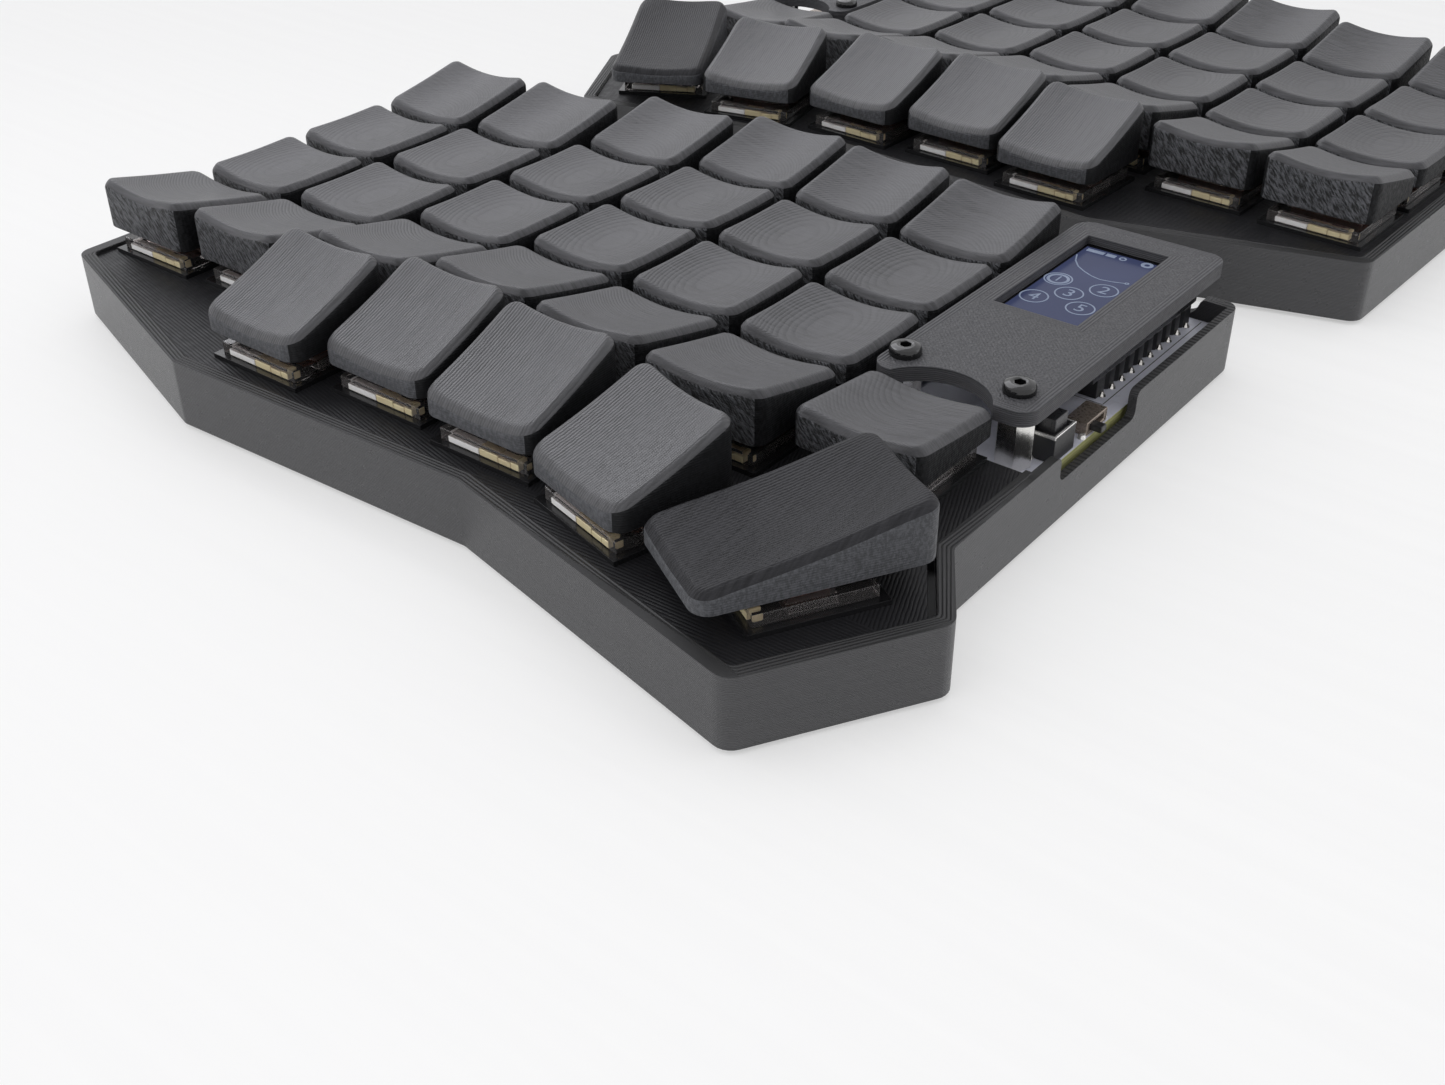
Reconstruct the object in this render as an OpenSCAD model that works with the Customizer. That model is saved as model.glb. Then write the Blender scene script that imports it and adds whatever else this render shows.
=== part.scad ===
// Low profile split keyboard: two mirrored halves, each with staggered key columns,
// a thumb row, one inner key, a controller bay and a display cover.
// All sizes in millimetres. The table is z = 0, +Y points to the back.

/* [Key layout] */
// spacing of the key columns
pitch_x = 18; // [17:0.1:20]
// spacing of the key rows
pitch_y = 17; // [16:0.1:20]
// how far column 2 sits behind column 1
stagger_2 = 0.9; // [0:0.1:3]
// how far column 3 sits behind column 1
stagger_3 = 6.1; // [4:0.1:8]
// how far column 4 sits behind column 1
stagger_4 = 9.0; // [7:0.1:11]
// how far column 5 sits behind column 1
stagger_5 = 7.6; // [6:0.1:9]
// how far column 6 sits behind column 1
stagger_6 = 5.8; // [4:0.1:7]
// extra room between the lower row and the thumb row
thumb_gap = 0.8; // [0.5:0.1:3]
// turn of the fourth thumb key
thumb_4_turn = -15; // [-20:1:-10]
// turn of the long inner thumb key
thumb_5_turn = -30; // [-34:1:-26]
// how far the inner key sits behind the lower row of column 6
inner_rise = 3.1; // [2:0.1:3.4]

/* [Case] */
// outside height of the case shell without its feet
case_h = 8.6; // [8:0.1:12]
// thickness of the case walls at the rim
wall_t = 1.8; // [1.4:0.1:2.4]
// thickness of the wall beside the controller bay
bay_wall = 1.1; // [1:0.1:1.8]
// width of the ledge that carries the switch plate
ledge_w = 0.8; // [0.5:0.1:1.2]
// thickness of the case floor
floor_t = 1.6; // [1.4:0.1:1.8]
// corner radius of the case outline
case_r = 2.2; // [1:0.1:3]
// margin of the case around the key field
side_margin = 1.6; // [1.4:0.1:4]
// diameter of a rubber foot
foot_d = 8; // [6:0.5:9]
// how far the rubber feet stand out
foot_out = 0.6; // [0.4:0.1:1]

/* [Plate and circuit board] */
// thickness of the switch plate
plate_t = 1.2; // [1:0.05:1.4]
// how far the plate lies below the rim
plate_drop = 0.5; // [0.2:0.1:0.8]
// open seam between plate and rim
seam = 0.15; // [0.1:0.05:0.3]
// side of the square switch opening in the plate
cutout = 13.8; // [13.7:0.05:14]
// thickness of the circuit board
pcb_t = 1.6; // [1.2:0.1:1.8]
// circuit board edge clearance to the ledge
pcb_gap = 0.2; // [0.1:0.05:0.4]

/* [Switches] */
// height of the switch body from circuit board to plate top
switch_drop = 2.2; // [2.1:0.05:2.4]
// side of the square switch flange
flange_w = 15; // [14.6:0.1:15.2]
// thickness of the switch flange
flange_t = 0.6; // [0.4:0.1:0.8]
// side of the clear upper housing
top_w = 13.3; // [13:0.1:13.4]
// height of the clear upper housing
top_h = 1.5; // [1.3:0.1:2]
// key travel
travel = 3.0; // [2.6:0.1:3.2]
// width of the sliding stem
stem_w = 10.2; // [9.8:0.1:10.4]
// depth of the sliding stem
stem_d = 4.5; // [4:0.1:4.8]
// running clearance around moving pieces
run_gap = 0.3; // [0.2:0.05:0.4]

/* [Key caps] */
// width of a key cap
cap_w = 16.4; // [16:0.1:16.6]
// depth of a key cap
cap_d = 15.4; // [15:0.1:15.6]
// corner radius of a key cap in plan
cap_r = 1.7; // [1:0.1:2.4]
// corner height of the two middle rows above the plate
rim_mid = 7.4; // [7.2:0.1:9]
// depth of the finger dish
dish = 1.2; // [0.8:0.1:1.25]
// side to side radius of the finger dish
dish_rx = 27; // [24:1:34]
// front to back radius of the finger dish
dish_ry = 90; // [70:5:120]
// extra height of the back edge of the number row
rise_number = 2.6; // [1:0.1:4]
// extra height of the front edge of the lower row
rise_lower = 3.3; // [1:0.1:4]
// extra height of the back edge of the thumb keys
rise_thumb = 5.4; // [3:0.1:6]
// depth of the long inner thumb cap
long_d = 25.4; // [22:0.1:26]
// width of the long inner thumb cap
long_w = 15.4; // [15:0.1:15.6]

/* [Display cover] */
// width of the cover
cover_w = 20.4; // [20:0.1:20.8]
// length of the cover
cover_l = 50.4; // [48:0.1:51]
// thickness of the cover top
cover_t = 1.2; // [0.8:0.1:1.3]
// depth of the cover with its side lip
cover_depth = 1.9; // [1.7:0.1:2.4]
// height of the cover's posts above the circuit board
post_h = 7.1; // [6.6:0.1:7.6]
// distance between the two cover screws
screw_gap = 14.6; // [14:0.1:14.8]
// width of the display window
window_w = 11.1; // [10:0.1:12]
// length of the display window
window_l = 24; // [22:0.1:25]

/* [Pair] */
// sideways place of the right half
pair_x = 120.3; // [110:0.5:130]
// how far the right half stands behind the left one
pair_y = 102.6; // [102.6:0.2:120]
// turn of the right half
pair_turn = -2.5; // [-2.5:0.5:0]

/* [Node] */
// name of the piece to draw

/* [Hidden] */
$fn = 48;
eps = 0.01;
stagger = [0, stagger_2, stagger_3, stagger_4, stagger_5, stagger_6];

// heights above the table
case_z = foot_out;
floor_z = case_z + floor_t;
rim_z = case_z + case_h;
plate_z = rim_z - plate_drop;
plate_under = plate_z - plate_t;
pcb_z = plate_z - switch_drop;
pcb_under = pcb_z - pcb_t;

// heights of a switch above the plate
housing_top = flange_t + top_h;
cap_gap = 0.2;
stem_top = housing_top + travel + cap_gap;
stem_low = flange_t + top_h - 0.5;
skirt_z = flange_t + travel + cap_gap;
cavity_w = top_w + 2 * run_gap;
prong_l = 2.6;
seat_gap = 0.03;

// key centres, column and row counted from 1
function key_x(c) = (c - 1) * pitch_x;
function key_y(r, c) = (4 - r) * pitch_y + stagger[c - 1];
function key_at(r, c) = [key_x(c), key_y(r, c)];
thumb_step = pitch_y + thumb_gap;
thumb_1 = key_at(4, 3) - [0, thumb_step];
thumb_2 = key_at(4, 4) - [0, thumb_step];
thumb_3 = key_at(4, 5) - [0, thumb_step];
thumb_4 = key_at(4, 6) + [1.2, -thumb_step - 2.2];
thumb_5 = key_at(4, 6) + [pitch_x + 3.5, -thumb_step - 2.7];
inner = key_at(4, 6) + [pitch_x, inner_rise];
matrix = [for (r = [1:4]) for (c = [1:6]) concat(key_at(r, c), [0])];
thumbs = [
    concat(thumb_1, [0]),
    concat(thumb_2, [0]),
    concat(thumb_3, [0]),
    concat(thumb_4, [thumb_4_turn]),
    concat(thumb_5, [thumb_5_turn])
];
all_keys = concat(matrix, thumbs, [concat(inner, [0])]);

// plan helpers
function unit(v) = v / norm(v);
function left_of(a, b) = [-unit(b - a)[1], unit(b - a)[0]];
function turned(v, a) = [v[0] * cos(a) - v[1] * sin(a), v[0] * sin(a) + v[1] * cos(a)];
function before(p, i) = p[(i + len(p) - 1) % len(p)];
function after(p, i) = p[(i + 1) % len(p)];
function miter(n, m) = (n + m) / (1 + n * m);
function inset(p, d) = [
    for (i = [0:len(p) - 1])
        p[i] + d * miter(left_of(before(p, i), p[i]), left_of(p[i], after(p, i)))
];
function bend(p, i) =
    let (u = unit(p[i] - before(p, i)), v = unit(after(p, i) - p[i]))
    atan2(u[0] * v[1] - u[1] * v[0], u * v);
function arc_at(p, i, r, n) =
    let (
        u = unit(p[i] - before(p, i)),
        t = bend(p, i),
        side = [-u[1], u[0]] * sign(t),
        start = p[i] - u * r * tan(abs(t) / 2)
    )
    [for (k = [0:n]) start + side * r + r * turned(-side, t * k / n)];
function rounded(p, r, n) = [for (i = [0:len(p) - 1]) each arc_at(p, i, r, n)];

// case outline of the left half, counter-clockwise from the outer front corner
left_x = -pitch_x / 2 - side_margin;
right_x = inner[0] + 13.8;
back_y = key_y(1, 6) + 11.9;
outline = [
    [left_x, key_y(4, 1) - 11.6],
    thumb_1 + [-9.9, -11.8],
    thumb_3 + [0.9, -11.5],
    thumb_5 + turned([12.7, -12], thumb_5_turn),
    thumb_5 + turned([13.2, 11.4], thumb_5_turn),
    [right_x, thumb_5[1] + 14],
    [right_x, back_y],
    [key_x(5) + 12, back_y],
    [key_x(5) + 6, key_y(1, 4) + 11],
    [key_x(4) - 10, key_y(1, 4) + 11],
    [key_x(3) - 8, key_y(1, 3) + 10.8],
    [key_x(2) + 5.5, key_y(1, 1) + 12],
    [left_x, key_y(1, 1) + 12]
];
rim_line = rounded(outline, case_r, 5);

// both halves are centred on the table
function to_right(p) = [pair_x, pair_y] + turned([-p[0], p[1]], pair_turn);
pair_points = concat(rim_line, [for (p = rim_line) to_right(p)]);
pair_xs = [for (p = pair_points) p[0]];
pair_ys = [for (p = pair_points) p[1]];
centre = [(min(pair_xs) + max(pair_xs)) / 2, (min(pair_ys) + max(pair_ys)) / 2];

// controller bay, beside column 6 and behind the inner key
bay_x = key_x(6) + 8.8;
bay_y = inner[1] + 7.9;
bay_mid = inner[0] + 0.4;
bay_side = right_x - bay_wall;
board_x = bay_side - 0.6;
ctrl_mid = bay_mid - 0.6;
cover_x = bay_mid + 1.1;
cover_y = inner[1] + 8.1;
cover_z = pcb_z + post_h;
screw_y = cover_y + 4.3;
standoff_d = 4.6;
screw_x = [bay_mid + 0.3 - screw_gap / 2, bay_mid + 0.3 + screw_gap / 2];
window_y = cover_y + cover_l - 16.3;
usb_w = 8.9;
usb_h = 3.2;
usb_in = 6.4;
port_w = 18.4;
switch_x = board_x - 0.2;
reset_w = 3.5;
reset_l = 4.8;
reset_h = 3.4;
reset_y = screw_y + standoff_d * cos(30) / 2 + reset_l / 2 + 0.2;
plunger_w = 2.2;
plunger_l = 2.9;
plunger_h = 1.6;
power_w = 2.8;
power_l = 5;
power_h = 1.7;
power_y = reset_y + reset_l / 2 + power_l / 2 + 3;
lever_l = 1.3;
lever_run = 2;
ctrl_t = 1.2;
ctrl_z = pcb_z + 2.5;
ctrl_back = back_y - wall_t - 0.3;
ctrl_front = power_y + power_l / 2 + 2.2;
ctrl_l = ctrl_back - ctrl_front;
pin_pitch = 2.54;
row_gap = 6 * pin_pitch;
header_w = 2.5;
ctrl_w = row_gap + header_w;
header_pins = floor((ctrl_l - 0.6) / pin_pitch);
header_l = header_pins * pin_pitch;
header_back = ctrl_back - (ctrl_l - header_l) / 2;
battery_l = ctrl_l - usb_in - 1.6;
battery_y = ctrl_front + 0.8 + battery_l / 2;
notch_y = [screw_y + 0.4, screw_y + 18.5];
notch_z = pcb_z - 0.7;
post_spots = [
    [key_x(1) + pitch_x / 2, key_y(4, 1) + 3],
    [key_x(1) + pitch_x / 2, key_y(1, 1) - 5],
    [key_x(5) + pitch_x / 2, key_y(4, 5) - 4],
    [key_x(5) + pitch_x / 2, key_y(1, 5) - 10]
];
foot_spots = [
    [left_x + 8, key_y(4, 1) - 4],
    [left_x + 8, key_y(1, 1) + 4],
    [right_x - 9, back_y - 9],
    thumb_5 + [2, -4]
];
post_d = 3.4;
bolt_d = 2;
bolt_gap = 0.05;
head_d = 3.8;
head_h = 0.6;
sink_h = 0.9;

// relief slot in the plate, along the short edge beside the long thumb key
slot_w = 1.5;
slot_run = outline[5] - outline[4];
slot_mid = (outline[4] + outline[5]) / 2 + (wall_t + seam) * left_of(outline[4], outline[5]);

// placing of the two halves
module left_half() {
    translate([-centre[0], -centre[1], 0])
        children();
}

module right_half() {
    translate([pair_x - centre[0], pair_y - centre[1], 0])
        rotate([0, 0, pair_turn])
            mirror([1, 0, 0])
                children();
}

module both_halves() {
    left_half() children();
    right_half() children();
}

module at_keys(list) {
    for (k = list)
        translate([k[0], k[1], plate_z])
            rotate([0, 0, k[2]])
                children();
}

// block centred in plan, standing on z
module block(w, d, z, h) {
    translate([-w / 2, -d / 2, z])
        cube([w, d, h]);
}

module soft_square(w, d, r) {
    square([w - 2 * r, d], center = true);
    square([w, d - 2 * r], center = true);
    for (x = [-1, 1])
        for (y = [-1, 1])
            translate([x * (w / 2 - r), y * (d / 2 - r)])
                circle(r);
}

// cut into the rim from a to b, down to low, with rounded lower corners and rounded ends at the top
module rim_cut(a, b, low, r, flare) {
    translate([a + r, low])
        square([b - a - 2 * r, 12]);
    translate([a, low + r])
        square([b - a, 12]);
    for (x = [a + r, b - r])
        translate([x, low + r])
            circle(r);
    difference() {
        translate([a - flare, rim_z - flare])
            square([b - a + 2 * flare, 4]);
        for (x = [a - flare, b + flare])
            translate([x, rim_z - flare])
                circle(flare);
    }
}

// case shell
module case_shell() {
    difference() {
        translate([0, 0, case_z])
            linear_extrude(case_h)
                polygon(rim_line);
        translate([0, 0, plate_under])
            linear_extrude(case_h)
                polygon(rounded(inset(outline, wall_t), 1, 3));
        translate([0, 0, floor_z])
            linear_extrude(case_h)
                polygon(rounded(inset(outline, wall_t + ledge_w), 0.8, 3));
        translate([0, 0, floor_z])
            linear_extrude(case_h)
                polygon([
                    [bay_x, bay_y],
                    [bay_side, bay_y],
                    [bay_side, back_y - wall_t],
                    [bay_x, back_y - wall_t]
                ]);
        translate([right_x - wall_t - ledge_w - 1, 0, 0])
            rotate([90, 0, 90])
                linear_extrude(8)
                    rim_cut(notch_y[0], notch_y[1], notch_z, 1, 1);
        translate([ctrl_mid, back_y + 3, 0])
            rotate([90, 0, 0])
                linear_extrude(wall_t + ledge_w + 3.4)
                    rim_cut(-port_w / 2, port_w / 2, ctrl_z - 2.3, 2.2, 0.8);
        for (p = post_spots) {
            translate([p[0], p[1], 0])
                cylinder(d = bolt_d + 0.2, h = floor_z + 1);
            translate([p[0], p[1], 0])
                cylinder(d = head_d + 0.4, h = case_z + sink_h);
        }
        for (p = foot_spots)
            translate([p[0], p[1], 0])
                cylinder(d = foot_d + 0.2, h = case_z + foot_out);
    }
}

module left_case() {
    color("#1b1c1f")
        left_half()
            case_shell();
}

module right_case() {
    color("#1b1c1f")
        right_half()
            case_shell();
}

// switch plate with its screw posts
module plate() {
    difference() {
        union() {
            translate([0, 0, plate_under])
                linear_extrude(plate_t)
                    difference() {
                        polygon(rounded(inset(outline, wall_t + seam), 0.9, 3));
                        translate([bay_x, bay_y])
                            square([60, 80]);
                    }
            for (p = post_spots)
                translate([p[0], p[1], floor_z])
                    cylinder(d = post_d, h = plate_under - floor_z + eps);
        }
        at_keys(all_keys)
            block(cutout, cutout, -plate_t - 1, plate_t + 2);
        translate([slot_mid[0], slot_mid[1], 0])
            rotate([0, 0, atan2(slot_run[1], slot_run[0])])
                block(norm(slot_run) - 3.4, slot_w, plate_under - 1, plate_t + 2);
        for (p = post_spots)
            translate([p[0], p[1], floor_z - 1])
                cylinder(d = bolt_d + 2 * bolt_gap, h = 4.6);
    }
}

module left_switch_plate() {
    color("#202124")
        left_half()
            plate();
}

module right_switch_plate() {
    color("#202124")
        right_half()
            plate();
}

// main circuit board
module board() {
    difference() {
        translate([0, 0, pcb_under])
            linear_extrude(pcb_t)
                union() {
                    polygon(rounded(inset(outline, wall_t + ledge_w + pcb_gap), 0.7, 3));
                    translate([bay_x, bay_y + 2 * pcb_gap])
                        square([board_x - bay_x, back_y - wall_t - 3 * pcb_gap - bay_y]);
                }
        at_keys(all_keys) {
            translate([0, 0, -switch_drop - pcb_t - 1])
                cylinder(d = 3.4, h = pcb_t + 2);
            for (x = [-5.5, 5.5])
                translate([x, 0, -switch_drop - pcb_t - 1])
                    cylinder(d = 1.9, h = pcb_t + 2);
        }
        for (p = post_spots)
            translate([p[0], p[1], 0])
                cylinder(d = post_d + 0.6, h = plate_z);
    }
}

module left_main_pcb() {
    color("#e9e9f2")
        left_half()
            board();
}

module right_main_pcb() {
    color("#e9e9f2")
        right_half()
            board();
}

// one switch, seen from the plate top
module switch_base() {
    difference() {
        union() {
            block(cutout - 0.1, cutout - 0.1, -switch_drop, switch_drop + eps);
            block(flange_w, flange_w, 0, flange_t);
            translate([0, 0, -switch_drop - 2.3])
                cylinder(d = 3.2, h = 2.3 + eps);
            for (x = [-5.5, 5.5])
                translate([x, 0, -switch_drop - 2.3])
                    cylinder(d = 1.7, h = 2.3 + eps);
        }
        block(stem_w + 2 * run_gap, stem_d + 2 * run_gap, stem_low - travel - 0.2, 9);
    }
}

module switch_top() {
    difference() {
        block(top_w, top_w, flange_t, top_h);
        block(stem_w + 2 * run_gap, stem_d + 2 * run_gap, 0, 9);
        translate([0, -5.7, 0])
            block(9.8, 1.3, 0, flange_t + 1.1);
    }
}

module switch_contact() {
    translate([0, -5.7, 0])
        block(9.6, 1.1, flange_t, 1);
}

module switch_bases() {
    color("#d9dade")
        both_halves()
            at_keys(all_keys)
                switch_base();
}

module switch_tops() {
    color("#e4e5e8")
        both_halves()
            at_keys(all_keys)
                switch_top();
}

module switch_contacts() {
    color("#d8b878")
        both_halves()
            at_keys(all_keys)
                switch_contact();
}

// double curved cutter for the finger dish, lowest at -ry
module dish_cutter(rx, ry) {
    rotate([0, 90, 0])
        rotate([0, 0, -15])
            rotate_extrude(angle = 30, $fn = 360)
                intersection() {
                    translate([ry - rx, 0])
                        circle(rx, $fn = 360);
                    translate([ry - 4, -14])
                        square([8, 28]);
                }
}

// key cap: front and back rim heights above the plate, then the dish
module cap(w, d, front, back, depth, rx, ry) {
    lean = atan2(back - front, d);
    mid = (front + back) / 2;
    difference() {
        translate([0, 0, skirt_z])
            linear_extrude(max(front, back) - skirt_z)
                soft_square(w, d, cap_r);
        translate([0, 0, mid])
            rotate([lean, 0, 0])
                block(2 * w, 3 * d, 0, 20);
        translate([0, 0, mid])
            rotate([lean, 0, 0])
                translate([0, 0, ry - depth])
                    dish_cutter(rx, ry);
        block(cavity_w, cavity_w, skirt_z - 1, stem_top - skirt_z + 1);
    }
    for (x = [-2.85, 2.85])
        translate([x, 0, 0])
            block(1.1, 2.9, stem_top - prong_l, prong_l + eps);
}

module stem() {
    difference() {
        block(stem_w, stem_d, stem_low, stem_top - stem_low - seat_gap);
        for (x = [-2.85, 2.85])
            translate([x, 0, 0])
                block(1.2, 3, stem_top - prong_l - 0.2, prong_l + 1);
    }
}

module key_number() {
    color("#1d1e21")
        cap(cap_w, cap_d, rim_mid - 0.2, rim_mid + rise_number, dish - 0.1, dish_rx, dish_ry);
    color("#8a3a2c")
        stem();
}

module key_middle() {
    color("#1d1e21")
        cap(cap_w, cap_d, rim_mid, rim_mid, dish, dish_rx, dish_ry);
    color("#8a3a2c")
        stem();
}

module key_lower() {
    color("#1d1e21")
        cap(cap_w, cap_d, rim_mid + rise_lower, rim_mid - 0.3, dish - 0.2, dish_rx, dish_ry);
    color("#8a3a2c")
        stem();
}

module key_inner() {
    color("#1d1e21")
        cap(cap_w, cap_d, rim_mid + 1.2, rim_mid - 0.6, dish - 0.3, dish_rx, dish_ry);
    color("#8a3a2c")
        stem();
}

module key_thumb() {
    color("#1d1e21")
        cap(cap_w, cap_d, rim_mid - 0.7, rim_mid + rise_thumb, dish - 0.1, 34, 80);
    color("#8a3a2c")
        stem();
}

module key_long() {
    color("#1d1e21")
        cap(long_w, long_d, rim_mid - 1.2, rim_mid + 3.5, dish - 0.2, 34, 100);
    color("#8a3a2c")
        stem();
}

// left keys, row by row from the outer column
module left_number(c) {
    left_half()
        at_keys([concat(key_at(1, c), [0])])
            key_number();
}

module left_upper(c) {
    left_half()
        at_keys([concat(key_at(2, c), [0])])
            key_middle();
}

module left_home(c) {
    left_half()
        at_keys([concat(key_at(3, c), [0])])
            key_middle();
}

module left_lower(c) {
    left_half()
        at_keys([concat(key_at(4, c), [0])])
            key_lower();
}

module left_thumb(i) {
    left_half()
        at_keys([thumbs[i - 1]])
            key_thumb();
}

module left_number_key_1() { left_number(1); }
module left_number_key_2() { left_number(2); }
module left_number_key_3() { left_number(3); }
module left_number_key_4() { left_number(4); }
module left_number_key_5() { left_number(5); }
module left_number_key_6() { left_number(6); }
module left_upper_key_1() { left_upper(1); }
module left_upper_key_2() { left_upper(2); }
module left_upper_key_3() { left_upper(3); }
module left_upper_key_4() { left_upper(4); }
module left_upper_key_5() { left_upper(5); }
module left_upper_key_6() { left_upper(6); }
module left_home_key_1() { left_home(1); }
module left_home_key_2() { left_home(2); }
module left_home_key_3() { left_home(3); }
module left_home_key_4() { left_home(4); }
module left_home_key_5() { left_home(5); }
module left_home_key_6() { left_home(6); }
module left_lower_key_1() { left_lower(1); }
module left_lower_key_2() { left_lower(2); }
module left_lower_key_3() { left_lower(3); }
module left_lower_key_4() { left_lower(4); }
module left_lower_key_5() { left_lower(5); }
module left_lower_key_6() { left_lower(6); }
module left_thumb_key_1() { left_thumb(1); }
module left_thumb_key_2() { left_thumb(2); }
module left_thumb_key_3() { left_thumb(3); }
module left_thumb_key_4() { left_thumb(4); }

module left_thumb_key_5() {
    left_half()
        at_keys([thumbs[4]])
            key_long();
}

module left_inner_key() {
    left_half()
        at_keys([concat(inner, [0])])
            key_inner();
}

// right keys, one group for each row
module right_number_keys() {
    right_half()
        at_keys([for (c = [1:6]) concat(key_at(1, c), [0])])
            key_number();
}

module right_upper_keys() {
    right_half()
        at_keys([for (c = [1:6]) concat(key_at(2, c), [0])])
            key_middle();
}

module right_home_keys() {
    right_half()
        at_keys([for (c = [1:6]) concat(key_at(3, c), [0])])
            key_middle();
}

module right_lower_keys() {
    right_half()
        at_keys([for (c = [1:6]) concat(key_at(4, c), [0])])
            key_lower();
    right_half()
        at_keys([concat(inner, [0])])
            key_inner();
}

module right_thumb_keys() {
    right_half()
        at_keys([for (i = [0:3]) thumbs[i]])
            key_thumb();
    right_half()
        at_keys([thumbs[4]])
            key_long();
}

// display cover with its window, side lip and curved front cut-out
module cover_outline() {
    difference() {
        translate([cover_x, cover_y + cover_l / 2])
            soft_square(cover_w, cover_l, 2.4);
        translate([bay_mid + 0.3, cover_y - 3.4])
            circle(7.4);
    }
}

module cover() {
    difference() {
        translate([0, 0, cover_z])
            linear_extrude(cover_depth)
                cover_outline();
        translate([cover_x, cover_y + cover_l / 2 + 4.2, 0])
            block(cover_w - 2.6, cover_l - 11, cover_z - 1, cover_depth - cover_t + 1);
        translate([bay_mid - 0.4, window_y, 0])
            block(window_w, window_l, cover_z - 1, cover_depth + 2);
        for (x = screw_x)
            translate([x, screw_y, cover_z - 1])
                cylinder(d = bolt_d + 0.2, h = cover_depth + 2);
    }
}

module display_covers() {
    color("#222326")
        both_halves()
            cover();
}

module display_panels() {
    color("#10131f")
        both_halves()
            translate([bay_mid - 0.4, window_y - 1.4, 0])
                block(window_w + 2.9, window_l + 5.4, cover_z + cover_depth - cover_t - 1.1, 1.1);
}

module cover_standoffs() {
    color("#d8d6d0")
        both_halves()
            for (x = screw_x)
                translate([x, screw_y, pcb_z])
                    difference() {
                        cylinder(d = standoff_d, h = post_h, $fn = 6);
                        translate([0, 0, 1])
                            cylinder(d = bolt_d + 2 * bolt_gap, h = post_h);
                    }
}

// button head screw standing on its head seat
module button_screw(shank) {
    cylinder(d = head_d, h = head_h);
    translate([0, 0, head_h - eps])
        cylinder(d1 = head_d, d2 = head_d - 1.2, h = head_h + eps);
    translate([0, 0, -shank])
        cylinder(d = bolt_d, h = shank + eps);
}

module cover_screws() {
    color("#17181a")
        both_halves()
            for (x = screw_x)
                translate([x, screw_y, cover_z + cover_depth])
                    difference() {
                        button_screw(cover_depth + 3.6);
                        translate([0, 0, head_h - 0.1])
                            cylinder(d = 1.45, h = 2, $fn = 6);
                    }
}

module case_screws() {
    color("#26272a")
        both_halves()
            for (p = post_spots)
                translate([p[0], p[1], case_z]) {
                    cylinder(d = head_d, h = sink_h);
                    cylinder(d = bolt_d, h = floor_t + 3);
                }
}

module rubber_feet() {
    color("#141414")
        both_halves()
            for (p = foot_spots)
                translate([p[0], p[1], 0])
                    cylinder(d = foot_d, h = case_z + foot_out);
}

// controller board on its pin rows, with battery and port
module controller_boards() {
    color("#17181c")
        both_halves()
            difference() {
                translate([ctrl_mid, ctrl_back - ctrl_l / 2, 0])
                    block(ctrl_w, ctrl_l, ctrl_z, ctrl_t);
                translate([ctrl_mid, ctrl_back, 0])
                    block(usb_w, 2 * usb_in, ctrl_z - 1, ctrl_t + 2);
            }
}

module pin_headers() {
    color("#1a1a1c")
        both_halves()
            for (s = [-1, 1])
                translate([ctrl_mid + s * row_gap / 2, header_back, 0])
                    difference() {
                        translate([-header_w / 2, -header_l, pcb_z])
                            cube([header_w, header_l, ctrl_z - pcb_z]);
                        for (i = [1:header_pins - 1])
                            for (e = [-1, 1])
                                translate([e * header_w / 2, -pin_pitch * i, pcb_z - 1])
                                    rotate([0, 0, 45])
                                        translate([-0.4, -0.4, 0])
                                            cube([0.8, 0.8, 6]);
                    }
}

module usb_ports() {
    color("#c9ccd0")
        both_halves()
            translate([ctrl_mid, ctrl_back - usb_in, ctrl_z + ctrl_t / 2 - usb_h / 2])
                difference() {
                    rotate([90, 0, 180])
                        linear_extrude(usb_in + 0.9)
                            translate([0, usb_h / 2])
                                soft_square(usb_w, usb_h, 1.2);
                    translate([0, 1, usb_h / 2])
                        rotate([90, 0, 180])
                            linear_extrude(8)
                                soft_square(usb_w - 0.7, usb_h - 0.7, 1);
                }
}

module batteries() {
    color("#b9bcc2")
        both_halves()
            translate([ctrl_mid, battery_y, 0])
                block(11.6, battery_l, pcb_z, 2.2);
}

// power switch: metal can with a side slot and a sliding lever
module power_switch_bodies() {
    color("#8d8f92")
        both_halves()
            difference() {
                translate([switch_x - power_w, power_y - power_l / 2, pcb_z])
                    cube([power_w, power_l, power_h]);
                translate([switch_x - 1.5, power_y - lever_l / 2 - lever_run / 2 - 0.1, pcb_z + 0.4])
                    cube([3, lever_l + lever_run + 0.2, 0.9]);
            }
}

module power_lever() {
    translate([switch_x - 1.3, power_y - lever_l / 2 - lever_run / 2, pcb_z + 0.45])
        cube([2.7, lever_l, 0.8]);
}

module left_power_slider() {
    color("#202022")
        left_half()
            power_lever();
}

module right_power_slider() {
    color("#202022")
        right_half()
            power_lever();
}

// reset button: square well with a plunger
module reset_button_bodies() {
    color("#2a2b2d")
        both_halves()
            difference() {
                translate([switch_x - reset_w, reset_y - reset_l / 2, pcb_z])
                    cube([reset_w, reset_l, reset_h]);
                translate([switch_x - reset_w / 2, reset_y, 0])
                    block(plunger_w + 0.2, plunger_l + 0.2, pcb_z + reset_h - 1, 3);
            }
}

module reset_plunger() {
    translate([switch_x - reset_w / 2, reset_y, 0])
        block(plunger_w, plunger_l, pcb_z + reset_h - 0.7, plunger_h + 0.7);
}

module left_reset_plunger() {
    color("#191a1b")
        left_half()
            reset_plunger();
}

module right_reset_plunger() {
    color("#191a1b")
        right_half()
            reset_plunger();
}

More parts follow.
